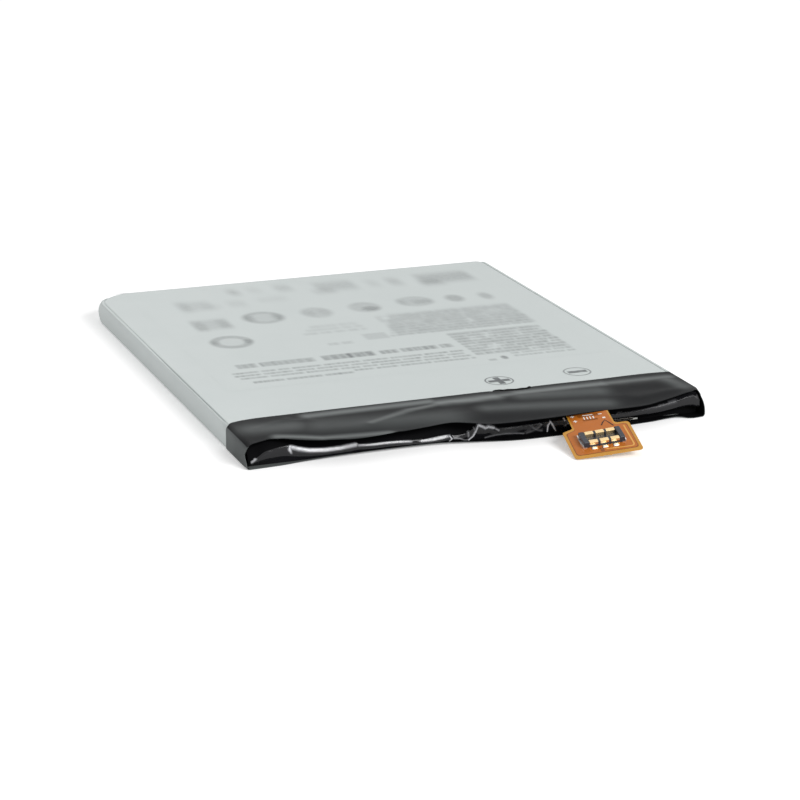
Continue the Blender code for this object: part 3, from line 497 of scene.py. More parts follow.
def filleted(corners: Sequence[tuple[float, float, float]],
             segments: int = 8) -> list[tuple[float, float]]:
    """Rounds the corners of a closed outline with tangent arcs.

    Args:
        corners: each corner as (x, y, radius), where a radius of 0 keeps it sharp.
        segments: the steps of an arc.

    Returns:
        The rounded outline's points.
    """
    outline: list[Vector] = []
    for index, (x, y, radius) in enumerate(corners):
        corner = Vector((x, y))
        before = (Vector(corners[index - 1][:2]) - corner).normalized()
        after = (Vector(corners[(index + 1) % len(corners)][:2]) - corner).normalized()
        if radius <= 0.0:
            outline.append(corner)
            continue
        half = before.angle(after) / 2
        centre = corner + (before + after).normalized() * radius / math.sin(half)
        start = corner + before * radius / math.tan(half) - centre
        end = corner + after * radius / math.tan(half) - centre
        sweep = start.angle_signed(end)
        for step in range(segments + 1):
            outline.append(centre + Matrix.Rotation(-sweep * step / segments, 2) @ start)
    return [(point.x, point.y) for point in outline]


def piece(name: str, shape: bmesh.types.BMesh, finishes: Sequence[Finish], stands_for: str | None,
          crease: float = 35.0) -> None:
    """Turns a bmesh into a finished piece of the pack, and frees the bmesh.

    Args:
        name: the piece's name.
        shape: the shape in metres.
        finishes: the finishes that its faces' material numbers choose.
        stands_for: the CAD node that it replaces, or None for an added piece.
        crease: edges that turn by more than this many degrees stay sharp.
    """
    for face in shape.faces:
        face.smooth = True
    mesh = bpy.data.meshes.new(name)
    shape.to_mesh(mesh)
    shape.free()
    mesh.set_sharp_from_angle(angle=math.radians(crease))
    made = bpy.data.objects.new(name, mesh)
    for finish in finishes:
        mesh.materials.append(Finishes.of(finish))
    bpy.context.scene.collection.objects.link(made)
    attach(made, ROOT)
    if stands_for:
        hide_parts(stands_for)
    LOG.info("%s: %d faces", name, len(mesh.polygons))


def face_up(shape: bmesh.types.BMesh) -> None:
    """Turns every face of a flat layer upwards.

    Args:
        shape: the layer, changed in place.
    """
    shape.normal_update()
    for face in shape.faces:
        if face.normal.z < 0:
            face.normal_flip()


def turn_outwards(shape: bmesh.types.BMesh) -> None:
    """Turns a bent sheet so that its highest face points up.

    Args:
        shape: the sheet, its faces already at one with each other, changed in place.
    """
    shape.normal_update()
    if max(shape.faces, key=lambda face: face.calc_center_median().z).normal.z < 0:
        bmesh.ops.reverse_faces(shape, faces=shape.faces)


def thickened(shape: bmesh.types.BMesh, thickness: float, back: int = 0) -> None:
    """Gives a sheet a second side behind its faces.

    Args:
        shape: the sheet, whose faces point to its outside, changed in place.
        thickness: the tape's thickness in millimetres, added outwards.
        back: the material number of the side that the sheet had before.
    """
    shape.normal_update()
    normals = {tuple(vertex.co): vertex.normal.copy() for vertex in shape.verts}
    before = list(shape.faces)
    grown = bmesh.ops.extrude_face_region(shape, geom=before, use_keep_orig=True)["geom"]
    bmesh.ops.reverse_faces(shape, faces=before)
    for vertex in (item for item in grown if isinstance(item, bmesh.types.BMVert)):
        vertex.co += normals[tuple(vertex.co)] * thickness * MM
    inner = set(before)
    for face in shape.faces:
        face.material_index = back if face in inner else 0


# Pouch


@dataclass
class Pouch:
    """The sealed foil pouch, sizes in millimetres, pairs as (left, right)."""

    half_width: float = 30.54
    far_radii: tuple[float, float] = (2.9, 1.2)
    slant_levels: tuple[float, ...] = (0.5, 0.9, 1.4, 1.9, 2.4, 2.8)
    near_radius: float = 1.2
    top_radius: float = 0.24
    foot_radius: float = 0.2
    seal_outside: float = 30.97
    seal_tops: tuple[float, float] = (3.10, 3.14)
    seal_foot: float = 0.025
    seal_wall: float = 0.40
    seal_root: float = 0.30
    seal_floor: float = 0.35
    seal_folds: tuple[float, float] = (0.24, 0.10)
    seal_gaps: tuple[float, float] = (0.10, 0.0)
    gap_from: float = 14.0
    gap_run: float = 22.0
    seal_leans: tuple[float, float] = (0.26, 0.10)
    seal_wave: float = 0.012
    seal_clear: float = 0.004
    ends_narrowed: float = 0.12
    rear_narrowed: float = 0.59
    rear_lowered: float = 0.25
    held_lowered: float = 0.12
    upper_from: float = 0.6
    upper_run: float = 1.2
    lean_from: float = 2.2
    lean_run: float = 0.6
    seal_radii: tuple[float, float, float] = (0.25, 0.06, 0.05)
    seal_rows: int = 160
    seal_crowding: float = 1.3
    seal_front: float = -31.5
    held_from: float = -27.2
    seal_rears: tuple[float, float] = (37.0, 37.35)
    seal_tapers: tuple[float, float] = (1.7, 0.7)
    bulge_level: float = 1.4
    foot_drawn: float = 1.7
    top_drawn: float = 2.5
    terrace_inset: float = 1.6
    terrace_low: float = 0.05
    terrace_high: float = 0.35
    terrace_radius: float = 0.08

    def far_radius(self, side: int, z: float) -> float:
        """Gives a far corner's radius at a height: the left one is drawn in above and below.

        Args:
            side: 1 for the right, -1 for the left.
            z: the height.

        Returns:
            The radius.
        """
        if side > 0:
            return self.far_radii[1]
        if z < self.bulge_level:
            drawn = self.foot_drawn * ((self.bulge_level - z) / self.bulge_level) ** 2
        else:
            above = (z - self.bulge_level) / (Pack.CELL_TOP - self.bulge_level)
            drawn = self.top_drawn * above ** 2
        return self.far_radii[0] + drawn

    def inset(self, side: int, y: float, z: float) -> float:
        """Gives how far a far corner draws the side in at a place.

        Args:
            side: 1 for the right, -1 for the left.
            y: the place along the side.
            z: its height.

        Returns:
            The distance from the straight side.
        """
        radius = self.far_radius(side, z)
        beyond = min(max(y - Pack.FAR_Y + radius, 0.0), radius)
        return radius - math.sqrt(radius ** 2 - beyond ** 2)

    def draw_left_corner(self, shape: bmesh.types.BMesh) -> None:
        """Gives the built far left corner its own radius at each height.

        Args:
            shape: the pouch, its far corners rounded, changed in place.
        """
        built = self.far_radii[0]
        centre = Vector((built - self.half_width, Pack.FAR_Y - built))
        for vertex in shape.verts:
            place = vertex.co / MM
            out = place.xy - centre
            if out.x < 1e-3 and out.y > -1e-3:
                more = self.far_radius(-1, place.z) - built
                moved = centre + more * Vector((1.0, -1.0)) + out.normalized() * (out.length + more)
                vertex.co = Vector((moved.x, moved.y, place.z)) * MM

    def body(self) -> None:
        """Builds the drawn pouch with its rounded corners and edges."""
        shape = slab((-self.half_width, Pack.CELL_FRONT, 0.0),
                     (self.half_width, Pack.FAR_Y, Pack.CELL_TOP))
        round_edges(shape, self.far_radii[0], 20,
                    lambda a, b: upright(a, b) and a.y > 0 and a.x < 0)
        round_edges(shape, self.far_radii[1], 14,
                    lambda a, b: upright(a, b) and a.y > 0 and a.x > 0)
        round_edges(shape, self.near_radius, 6, lambda a, b: upright(a, b) and a.y < 0)
        round_edges(shape, self.top_radius, 9, level_at(Pack.CELL_TOP))
        round_edges(shape, self.foot_radius, 3, level_at(0.0))
        for level in self.slant_levels:
            bmesh.ops.bisect_plane(
                shape, geom=[*shape.verts, *shape.edges, *shape.faces], dist=1e-7,
                plane_co=Vector((0.0, 0.0, level)) * MM, plane_no=(0.0, 0.0, 1.0))
        self.draw_left_corner(shape)
        piece("pouch_body", shape, [Finishes.FOIL], "pouch_cell")

    def terrace(self) -> None:
        """Builds the sealed ledge that the board lies on."""
        inset = self.half_width - self.terrace_inset
        shape = slab((-inset, Pack.TERRACE_FRONT, self.terrace_low),
                     (inset, Pack.CELL_FRONT, self.terrace_high))
        round_edges(shape, self.terrace_radius, 2, level_at(self.terrace_high))
        piece("pouch_terrace", shape, [Finishes.FOIL], "pouch_cell")

    def side_seal(self, side: int) -> None:
        """Builds one side seal, folded up against the pouch.

        Args:
            side: 1 for the right, -1 for the left.
        """
        top, seal_rear, taper, fold, gap, lean = (pair[side > 0] for pair in (
            self.seal_tops, self.seal_rears, self.seal_tapers, self.seal_folds, self.seal_gaps,
            self.seal_leans))
        root, inside = self.half_width - self.seal_root, self.seal_outside - self.seal_wall
        floor = self.seal_foot + self.seal_floor
        outer, upper_inner, lower_inner = self.seal_radii
        profile = filleted([
            (root, self.seal_foot, 0.0), (self.seal_outside, self.seal_foot, outer),
            *((self.seal_outside, level, 0.0) for level in self.slant_levels),
            (self.seal_outside, top, fold), (inside, top, upper_inner),
            (inside, floor, lower_inner), (root, floor, 0.0),
        ], 5)
        count = len(profile)

        def place(across: float, along: float) -> Vector:
            """Lays one point of the seal."""
            x, z = profile[round(across * count) % count]
            y = seal_rear - (seal_rear - self.seal_front) * (1 - along) ** self.seal_crowding
            end = smooth((seal_rear - y) / taper)
            fade = smooth(y - self.seal_front) * end
            upper = smooth((z - self.upper_from) / self.upper_run)
            wave = self.seal_wave * noise.noise(Vector((y * 0.35, side * 3.0, z * 0.3)))
            if x <= self.seal_outside - self.seal_wall / 2 and z > self.seal_foot + 0.3:
                x += gap * upper * smooth((self.gap_from - y) / self.gap_run)
            narrowed = ((1 - self.ends_narrowed * (1 - fade))
                        * (1 - self.rear_narrowed * (1 - end)))
            x = root + (x - root) * narrowed - self.inset(side, y, z)
            held = smooth(self.held_from - y)
            x -= lean * held * smooth((z - self.lean_from) / self.lean_run)
            z -= self.rear_lowered * upper * (1 - end) + self.held_lowered * held * upper
            return Vector((side * (x + wave * upper * fade - self.seal_clear), y, z)) * MM

        shape = grid(count, self.seal_rows, place)
        ends = [edge for edge in shape.edges if edge.is_boundary]
        bmesh.ops.holes_fill(shape, edges=ends, sides=0)
        bmesh.ops.recalc_face_normals(shape, faces=shape.faces)
        name = "right" if side > 0 else "left"
        piece(f"side_seal_{name}", shape, [Finishes.FOIL], "pouch_cell")

    def build(self) -> None:
        """Builds the whole pouch."""
        self.body()
        self.terrace()
        for side in (-1, 1):
            self.side_seal(side)


# Print on the pouch


class Focus:
    """How soft the print is, the further from the connector the softer, in millimetres."""

    SHARPEST = 0.17
    GAIN = 0.70
    SHARP_TO = -8.0
    RUN = 41.0
    DEEPER = 1.5
    DEEPER_FROM = -2.0
    DEEPER_RUN = 20.0

    @classmethod
    def across(cls, y: float) -> float:
        """Gives how soft the marks' left and right edges are at a distance along the pack."""
        return cls.SHARPEST + cls.GAIN * max(y - cls.SHARP_TO, 0.0) / cls.RUN

    @classmethod
    def deeper(cls, y: float) -> float:
        """Gives how many times softer the marks' near and far edges are than their sides."""
        return 1.0 + cls.DEEPER * smooth((y - cls.DEEPER_FROM) / cls.DEEPER_RUN)


@dataclass(frozen=True)
class Mark:
    """One soft mark of the print, in millimetres: a bar, or a disc, which may have a hole."""

    x: float
    y: float
    half_x: float
    half_y: float
    strength: float
    disc: bool = False
    hole: float = 0.0

    def ink(self, x: float, y: float, blur: float) -> float:
        """Gives the mark's ink at a place.

        Args:
            x: the place across the pack.
            y: the place along it.
            blur: how soft the mark's edges are.

        Returns:
            The ink, from 0 to about 1, or below 0 for a mark that thins it.
        """
        if not self.disc:
            return (self.strength * soft_box(x - self.x, self.half_x, blur)
                    * soft_box(y - self.y, self.half_y, blur * Focus.deeper(y)))
        reach = math.hypot(x - self.x, (y - self.y) * self.half_x / self.half_y)
        inner = 1.0
        if self.hole:
            inner = smooth((reach - self.hole * self.half_x) / (2 * blur) + 0.5)
        return self.strength * (1 - smooth((reach - self.half_x) / (2 * blur) + 0.5)) * inner


@dataclass
class Print:
    """The pouch's generic print: plain bars, rings and the polarity signs, in millimetres."""

    level: float = Pack.CELL_TOP + 0.008
    left: float = -26.6
    right: float = 27.6
    near: float = -15.6
    far: float = 35.6
    columns: int = 271
    rows_along: int = 205
    reach: float = 2.5
    shape: bmesh.types.BMesh = field(default_factory=bmesh.new)
    marks: list[Mark] = field(default_factory=list)

    def __post_init__(self) -> None:
        """Gives the crisp signs their ink layer."""
        self.ink = self.shape.verts.layers.float.new("mark")

    def patch(self, columns: int, rows: int, strength: float,
              place: Callable[[int, int], tuple[float, float]],
              soft: Callable[[int, int], bool]) -> None:
        """Adds one crisp sign to the print.

        Args:
            columns: the sign's quads across.
            rows: its quads along.
            strength: how dark its ink is, from 0 to 1.
            place: gives the place of a grid point by its column and row.
            soft: says whether a grid point is at the faded edge, where no ink is.
        """
        made = bmesh.ops.create_grid(self.shape, x_segments=columns, y_segments=rows,
                                     size=0.5)["verts"]
        low = min(v.co.x for v in made)
        span = max(v.co.x for v in made) - low
        for vertex in made:
            i = round((vertex.co.x - low) / span * columns)
            j = round((vertex.co.y - low) / span * rows)
            x, y = place(i, j)
            vertex.co = Vector((x, y, self.level)) * MM
            vertex[self.ink] = 0.0 if soft(i, j) else strength

    def bar(self, x0: float, x1: float, y0: float, y1: float, strength: float,
            fade: float) -> None:
        """Adds a crisp bar, faded along its edge.

        Args:
            x0: its left side.
            x1: its right side.
            y0: its near side.
            y1: its far side.
            strength: how dark its ink is.
            fade: the width of its faded edge.
        """
        xs = (x0 - fade / 2, x0 + fade / 2, x1 - fade / 2, x1 + fade / 2)
        ys = (y0 - fade / 2, y0 + fade / 2, y1 - fade / 2, y1 + fade / 2)
        self.patch(3, 3, strength, lambda i, j: (xs[i], ys[j]),
                   lambda i, j: i in (0, 3) or j in (0, 3))

    def cross(self, x: float, y: float, reach: tuple[float, float], half: tuple[float, float],
              strength: float, fade: float) -> None:
        """Adds a crisp plus sign in one piece, faded along its edge.

        Args:
            x: its middle across.
            y: its middle along.
            reach: how far its arms reach across and along.
            half: half the width of the upright and of the level arm.
            strength: how dark its ink is.
            fade: the width of its faded edge.
        """
        xs, ys = ([middle + way * (distance + way * push * fade / 2)
                   for way, distance, push in (
                       (-1, far, -1), (-1, far, 1), (-1, near, -1), (-1, near, 1),
                       (1, near, -1), (1, near, 1), (1, far, -1), (1, far, 1))]
                  for middle, far, near in ((x, reach[0], half[0]), (y, reach[1], half[1])))
        self.patch(7, 7, strength, lambda i, j: (xs[i], ys[j]),
                   lambda i, j: not ((1 <= i <= 6 and 3 <= j <= 4)
                                     or (1 <= j <= 6 and 3 <= i <= 4)))

    def ring(self, x: float, y: float, radius: float, line: float, strength: float, fade: float,
             steps: int = 48) -> None:
        """Adds a crisp ring, faded on both sides.

        Args:
            x: its middle across.
            y: its middle along.
            radius: the radius of its line's middle.
            line: its line's width.
            strength: how dark its ink is.
            fade: the width of its faded edges.
            steps: its quads round.
        """
        half = line / 2
        radii = (radius - half - fade / 2, radius - half + fade / 2, radius + half - fade / 2,
                 radius + half + fade / 2)
        self.patch(steps, 3, strength,
                   lambda i, j: (x + radii[j] * math.cos(math.tau * i / steps),
                                 y + radii[j] * math.sin(math.tau * i / steps)),
                   lambda _, j: j in (0, 3))

    def polarity(self) -> None:
        """Adds the ringed plus and minus signs above the two tabs."""
        self.ring(8.08, -23.2, 1.84, 0.22, 0.9, 0.10)
        self.cross(8.08, -23.2, (1.50, 1.50), (0.42, 0.46), 1.1, 0.12)
        self.ring(19.38, -22.95, 1.78, 0.22, 0.75, 0.10)
        self.bar(18.05, 20.75, -23.42, -22.52, 1.0, 0.12)

    def ticks(self, x0: float, x1: float, y0: float, y1: float, strength: float, seed: int,
              tick: float = 0.42, gap: float = 0.26) -> None:
        """Fills a row with plain upright ticks in uneven groups.

        Args:
            x0: the row's left end.
            x1: its right end.
            y0: its lower edge.
            y1: its upper edge.
            strength: how dark its ink is.
            seed: the row's own seed for its groups.
            tick: a tick's usual width.
            gap: the usual gap between two ticks.
        """
        dice = random.Random(seed)
        x = x0
        while x + tick < x1:
            start = x
            for _ in range(dice.randint(2, 8)):
                width = tick * (0.6 + 0.8 * dice.random())
                if x + width > x1:
                    break
                height = (y1 - y0) * (0.75 + 0.25 * dice.random())
                self.marks.append(Mark(x + width / 2, y0 + height / 2, width / 2, height / 2,
                                       0.42 * strength * (0.5 + dice.random())))
                x += width + gap * (0.5 + dice.random())
            self.marks.append(Mark((start + x) / 2, (y0 + y1) / 2, (x - start) / 2,
                                   (y1 - y0) / 2, 0.5 * strength))
            x += 1.3 * gap

    def mottle(self, x0: float, x1: float, y0: float, y1: float, count: int, seed: int) -> None:
        """Thins or darkens the ink in scattered round spots.

        Args:
            x0: the field's left side.
            x1: its right side.
            y0: its near side.
            y1: its far side.
            count: the number of spots.
            seed: the field's own seed.
        """
        dice = random.Random(seed)
        for _ in range(count):
            size = 0.45 + 0.55 * dice.random()
            self.marks.append(Mark(x0 + (x1 - x0) * dice.random(), y0 + (y1 - y0) * dice.random(),
                                   size, size * 1.3, 0.24 * dice.random() - 0.17, True))

    def near_rows(self) -> None:
        """Adds the rows nearest the connector, three larger and the others small."""
        self.ticks(-22.3, -11.4, -6.3, -4.3, 0.62, 1, 0.60, 0.36)
        self.ticks(-10.2, -2.8, -6.4, -4.1, 0.80, 2, 0.66, 0.36)
        self.ticks(-1.9, 9.3, -6.2, -4.4, 0.62, 3, 0.50, 0.34)
        for index, (low, left, right) in enumerate(((-8.7, -23.8, 9.4), (-9.95, -23.8, 9.4),
                                                    (-11.2, -23.4, 9.4), (-12.5, -8.0, 9.4))):
            self.ticks(left, right, low, low + 0.8, 0.52, 10 + index)
        self.ticks(-22.3, -8.6, -13.3, -12.4, 0.60, 20)
        self.marks.append(Mark(16.9, -5.4, 6.9, 5.9, 0.17))
        for index in range(11):
            left = 14.6 if index < 2 else 9.9
            self.ticks(left, 23.9, -13.5 + 1.27 * index, -12.65 + 1.27 * index, 0.36, 30 + index)
        self.mottle(10.5, 23.4, -10.5, 0.2, 26, 90)
        self.marks += [Mark(13.0, -13.4, 0.45, 0.8, 0.75, True),
                       Mark(11.1, -13.9, 0.55, 0.45, 0.35)]

    def far_rows(self) -> None:
        """Adds the paler rows of the upper block and beyond."""
        self.marks.append(Mark(14.0, 7.0, 10.4, 5.2, 0.20))
        self.mottle(4.0, 23.5, 2.0, 11.5, 22, 91)
        for index in range(9):
            y = 1.5 + 1.28 * index
            self.ticks(2.4 + 0.33 * (y - 1.5), 24.2, y, y + 0.95, 0.28, 50 + index)
        self.marks.append(Mark(0.4, 2.6, 1.7, 1.5, 0.24))
        self.ticks(-7.2, -3.2, 0.2, 1.5, 0.30, 72)
        for index in range(3):
            self.ticks(-8.8 + index, 0.4, 6.3 + 1.6 * index, 7.2 + 1.6 * index, 0.30, 73 + index)
        self.marks += [Mark(*row) for row in (
            (-11.2, 32.1, 0.8, 1.4, 0.40), (-8.0, 32.2, 1.0, 1.6, 0.14),
            (-3.5, 32.1, 1.2, 1.8, 0.26), (4.2, 30.6, 3.0, 2.5, 0.30),
            (1.6, 28.2, 1.7, 1.3, 0.22), (10.0, 30.0, 0.9, 2.0, 0.14),
            (13.4, 30.0, 1.0, 2.2, 0.28), (21.4, 29.8, 4.2, 2.7, 0.40),
            (18.4, 27.4, 1.8, 1.6, 0.24), (-12.6, 25.8, 1.3, 1.8, 0.14),
            (-7.0, 26.5, 2.2, 1.2, 0.12), (-18.6, 26.4, 2.4, 2.4, 0.22),
            (-20.4, 26.6, 0.9, 2.6, 0.14), (-16.4, 25.4, 1.4, 1.2, 0.10),
        )]

    def signs(self) -> None:
        """Adds the plain rings, discs and boxes."""
        self.marks += [Mark(*row) for row in (
            (-19.3, 6.6, 3.0, 3.2, 0.34, True, 0.60), (-19.3, 6.6, 3.0, 3.2, 0.10, True),
            (-21.5, 6.9, 0.6, 1.0, 0.22, True), (-17.0, 6.2, 0.6, 1.0, 0.26, True),
            (-19.3, 16.2, 2.7, 2.6, 0.26), (-21.1, 15.7, 0.8, 2.6, 0.20),
            (-17.6, 15.9, 0.7, 2.2, 0.20),
            (-11.3, 17.2, 3.0, 3.2, 0.20, True, 0.66), (-11.3, 17.2, 3.0, 3.2, 0.20, True),
            (-13.3, 17.5, 0.7, 1.5, 0.26, True), (-9.3, 16.9, 0.7, 1.5, 0.26, True),
            (-3.3, 17.2, 2.3, 2.9, 0.26, True), (-4.3, 17.2, 0.7, 1.4, 0.14, True),
            (-2.2, 17.2, 0.7, 1.4, 0.14, True),
            (4.2, 17.6, 2.3, 2.8, 0.30, True), (4.8, 16.6, 1.3, 1.2, 0.34, True),
            (12.2, 18.1, 2.7, 2.8, 0.26, True), (13.2, 17.6, 1.5, 0.7, 0.34),
            (10.2, 18.4, 0.6, 1.4, 0.20),
            (18.3, 17.8, 1.3, 1.9, 0.46, True), (23.1, 17.5, 0.9, 1.8, 0.40, True),
        )]

    def sheet(self) -> None:
        """Lays the soft marks on one thin layer of ink."""
        blank = [[0.0] * (self.columns + 1) for _ in range(self.rows_along + 1)]
        step_x = (self.right - self.left) / self.columns
        step_y = (self.far - self.near) / self.rows_along
        for mark in self.marks:
            blur = Focus.across(mark.y)
            wide, deep = mark.half_x + blur, mark.half_y + self.reach * blur
            for j in range(math.ceil((mark.y - deep - self.near) / step_y),
                           math.floor((mark.y + deep - self.near) / step_y) + 1):
                for i in range(math.ceil((mark.x - wide - self.left) / step_x),
                               math.floor((mark.x + wide - self.left) / step_x) + 1):
                    if 0 < i < self.columns and 0 < j < self.rows_along:
                        blank[j][i] += mark.ink(self.left + i * step_x, self.near + j * step_y,
                                                blur)
        width, depth = self.right - self.left, self.far - self.near
        shape = grid(self.columns, self.rows_along, lambda across, along: Vector(
            (self.left + width * across, self.near + depth * along, self.level)) * MM)
        ink = shape.verts.layers.float.new("mark")
        for vertex in shape.verts:
            i = round((vertex.co.x / MM - self.left) / step_x)
            j = round((vertex.co.y / MM - self.near) / step_y)
            vertex[ink] = max(blank[j][i], 0.0)
        face_up(shape)
        piece("pouch_print", shape, [Finishes.FOIL], "pouch_cell")

    def build(self) -> None:
        """Builds the soft marks and the crisp polarity signs."""
        self.near_rows()
        self.far_rows()
        self.signs()
        self.sheet()
        self.polarity()
        blank = [face for face in self.shape.faces
                 if not any(vertex[self.ink] for vertex in face.verts)]
        bmesh.ops.delete(self.shape, geom=blank, context="FACES")
        bmesh.ops.remove_doubles(self.shape, verts=self.shape.verts, dist=1e-8)
        face_up(self.shape)
        piece("polarity_print", self.shape, [Finishes.FOIL], "pouch_cell")


# Sleeve of tape


@dataclass(frozen=True)
class Ridge:
    """A soft ridge or dip in a tape, or a band of painted sheen whose height is its lightness,
    along a line in millimetres.
    """

    start: tuple[float, float]
    end: tuple[float, float]
    width: float
    height: float

    def at(self, x: float, y: float) -> float:
        """Gives the ridge's height, or the band's painted lightness, at a place."""
        distance = from_line(Vector((x, y)), Vector(self.start), Vector(self.end))
        return self.height * bell(distance, self.width)


@dataclass
class EndSleeve:
    """The matt tape round the pack's front end, open at its mouth, sizes in millimetres."""

    tape: float = 0.08
    tight_top: float = 0.80
    tight_right: float = 0.35
    tight_foot: float = 0.20
    loose_left: float = 0.95
    loose_right: float = 0.85
    loose_foot: float = 0.35
    side_rear: float = 8.6
    side_setback: float = 0.95
    half_inside: float = 30.6
    highest: float = 0.14
    free_top: float = 0.9
    corner_zone: float = 1.5
    inner_top: float = 3.17
    upper_share: float = 0.25
    rear_share: float = 0.10
    setback_width: float = 0.25
    setback_from: float = 29.6
    setback_run: float = 1.2
    ridge_share: float = 0.9
    drift: float = 0.01
    rear_bonded: float = 0.8
    sides_bonded: float = 2.0
    folded_left: float = -17.0
    folded_top: float = 0.3
    crowding: float = 1.5
    # The painted sheen: its gain on the top, the depth of the top zone, and the painted lighter
    # tone of the other faces
    sheen_gain: float = 1.15
    sheen_foot: float = 0.35
    side_sheen: float = 0.40
    side_sheen_more: float = 0.16
    side_sheen_from: float = -34.5
    side_sheen_run: float = 5.0
    rows: int = 44
    # The mouth's upper and lower edge, as rows of (x, reach in front, how far it closes the mouth)
    lip: Knots = (
        (-31.0, -0.15, 0.00), (-30.4, -0.20, 0.02), (-29.6, -0.60, 0.05), (-28.6, -1.02, 0.05),
        (-27.4, -1.35, 0.05), (-24.4, 0.30, 0.10),
        (-21.4, 1.20, 0.20), (-17.9, 1.65, 0.30), (-14.7, 1.35, 0.33), (-11.2, 0.75, 0.30),
        (-7.7, 0.35, 0.20), (-4.3, 0.00, 0.12), (-2.2, 0.85, 0.15), (0.4, 2.05, 0.24),
        (7.3, 2.25, 0.24), (15.6, 1.75, 0.24), (21.7, 1.70, 0.24), (25.4, 0.55, 0.16),
        (27.8, -0.30, 0.05), (29.0, -0.80, 0.02), (30.2, -1.25, 0.00), (31.0, -2.00, 0.00),
    )
    foot: Knots = (
        (-31.0, -0.10, 0.00), (-26.6, -0.40, 0.00), (-23.5, -0.70, 0.10), (-18.5, -0.85, 0.25),
        (-12.4, -1.00, 0.30), (-5.8, -0.90, 0.30), (-0.5, -0.10, 0.15), (4.7, 0.60, 0.00),
        (10.3, 0.60, 0.00), (23.2, -0.40, 0.00), (27.5, -0.70, 0.15), (29.0, 0.00, 0.00),
        (31.0, -0.15, 0.00),
    )
    # The rear edge, as rows of (x, distance behind the mouth)
    rear: Knots = (
        (-31.0, 8.50), (-30.2, 8.90), (-28.7, 9.40), (-26.0, 9.70), (0.0, 10.05), (4.7, 10.08),
        (5.8, 9.75), (7.6, 9.30), (10.1, 9.25), (10.5, 9.60), (10.9, 10.10), (20.8, 10.15),
        (24.4, 10.30), (28.0, 10.30), (31.0, 10.00),
    )
    # Soft folds of the top, as rows of (start, end, width, height)
    ridges: Sequence[Ridge] = tuple(Ridge(*row) for row in (
        ((-13.9, -35.0), (-7.6, -32.1), 1.0, 0.10),
        ((-7.6, -32.1), (-2.0, -30.8), 1.0, 0.11),
        ((-1.0, -30.8), (3.9, -32.6), 0.9, 0.09),
        ((4.0, -31.0), (29.5, -31.6), 1.7, 0.13),
        ((-28.0, -31.9), (-23.6, -29.8), 0.6, 0.05),
        ((-23.0, -29.8), (-20.5, -31.2), 0.6, 0.04),
        ((-26.0, -36.9), (-20.0, -39.1), 0.9, 0.12),
        ((-20.0, -39.1), (-12.0, -38.6), 0.9, 0.10),
        ((22.0, -36.4), (28.5, -35.0), 0.9, 0.06),
    ))
    # Bands of painted highlight on the top, as rows of (start, end, width, lightness)
    painted_sheens: Sequence[Ridge] = tuple(Ridge(*row) for row in (
        ((-28.5, -31.8), (-23.5, -32.3), 2.0, 0.28),
        ((-25.5, -30.2), (-21.5, -30.3), 0.45, 0.14),
        ((-20.5, -29.3), (-4.0, -28.9), 0.9, 0.58),
        ((-26.5, -35.8), (-21.5, -37.9), 0.8, 0.50),
        ((-21.5, -37.9), (-13.0, -38.4), 0.8, 0.46),
        ((-13.9, -34.6), (-7.6, -31.6), 0.8, 0.42),
        ((-7.6, -31.6), (-2.0, -30.1), 0.7, 0.46),
        ((-20.0, -33.5), (-4.0, -35.5), 2.6, 0.20),
        ((-3.0, -30.0), (4.5, -30.0), 1.2, 0.66),
        ((4.5, -29.8), (8.0, -29.7), 0.9, 0.50),
        ((8.0, -29.5), (20.0, -29.5), 1.0, 0.62),
        ((20.0, -29.5), (29.5, -29.6), 0.9, 0.44),
        ((8.0, -31.0), (18.0, -32.5), 1.6, 0.26),
        ((2.0, -34.0), (17.0, -37.0), 1.5, 0.24),
        ((28.6, -30.5), (29.4, -34.0), 1.3, 0.26),
    ))

    def section(self, right: float, left: float, foot: float) -> list[tuple[float, float]]:
        """Draws the sleeve's inner section, clockwise from its upper right corner.

        Args:
            right: the upper right corner's radius.
            left: the upper left corner's radius.
            foot: the radius of both lower corners.

        Returns:
            The section's points as (x, z).
        """
        half = Pack.HALF_WIDTH - self.tape
        low, high = -Pack.BOND, self.inner_top
        corners = (
            (half - right, high - right, right, 90.0, 10),
            (half - foot, low + foot, foot, 0.0, 5),
            (foot - half, low + foot, foot, -90.0, 5),
            (left - half, high - left, left, -180.0, 10),
        )
        counts = (6, 90, 6, 240)
        points: list[tuple[float, float]] = []
        for (x, z, radius, start, steps), (following, count) in zip(
                corners, zip(corners[1:] + corners[:1], counts)):
            for step in range(steps + 1):
                angle = math.radians(start - 90.0 * step / steps)
                points.append((x + radius * math.cos(angle), z + radius * math.sin(angle)))
            angle = math.radians(following[3])
            target = (following[0] + following[2] * math.cos(angle),
                      following[1] + following[2] * math.sin(angle))
            last = points[-1]
            for step in range(1, count):
                share = step / count
                points.append((last[0] + (target[0] - last[0]) * share,
                               last[1] + (target[1] - last[1]) * share))
        return points

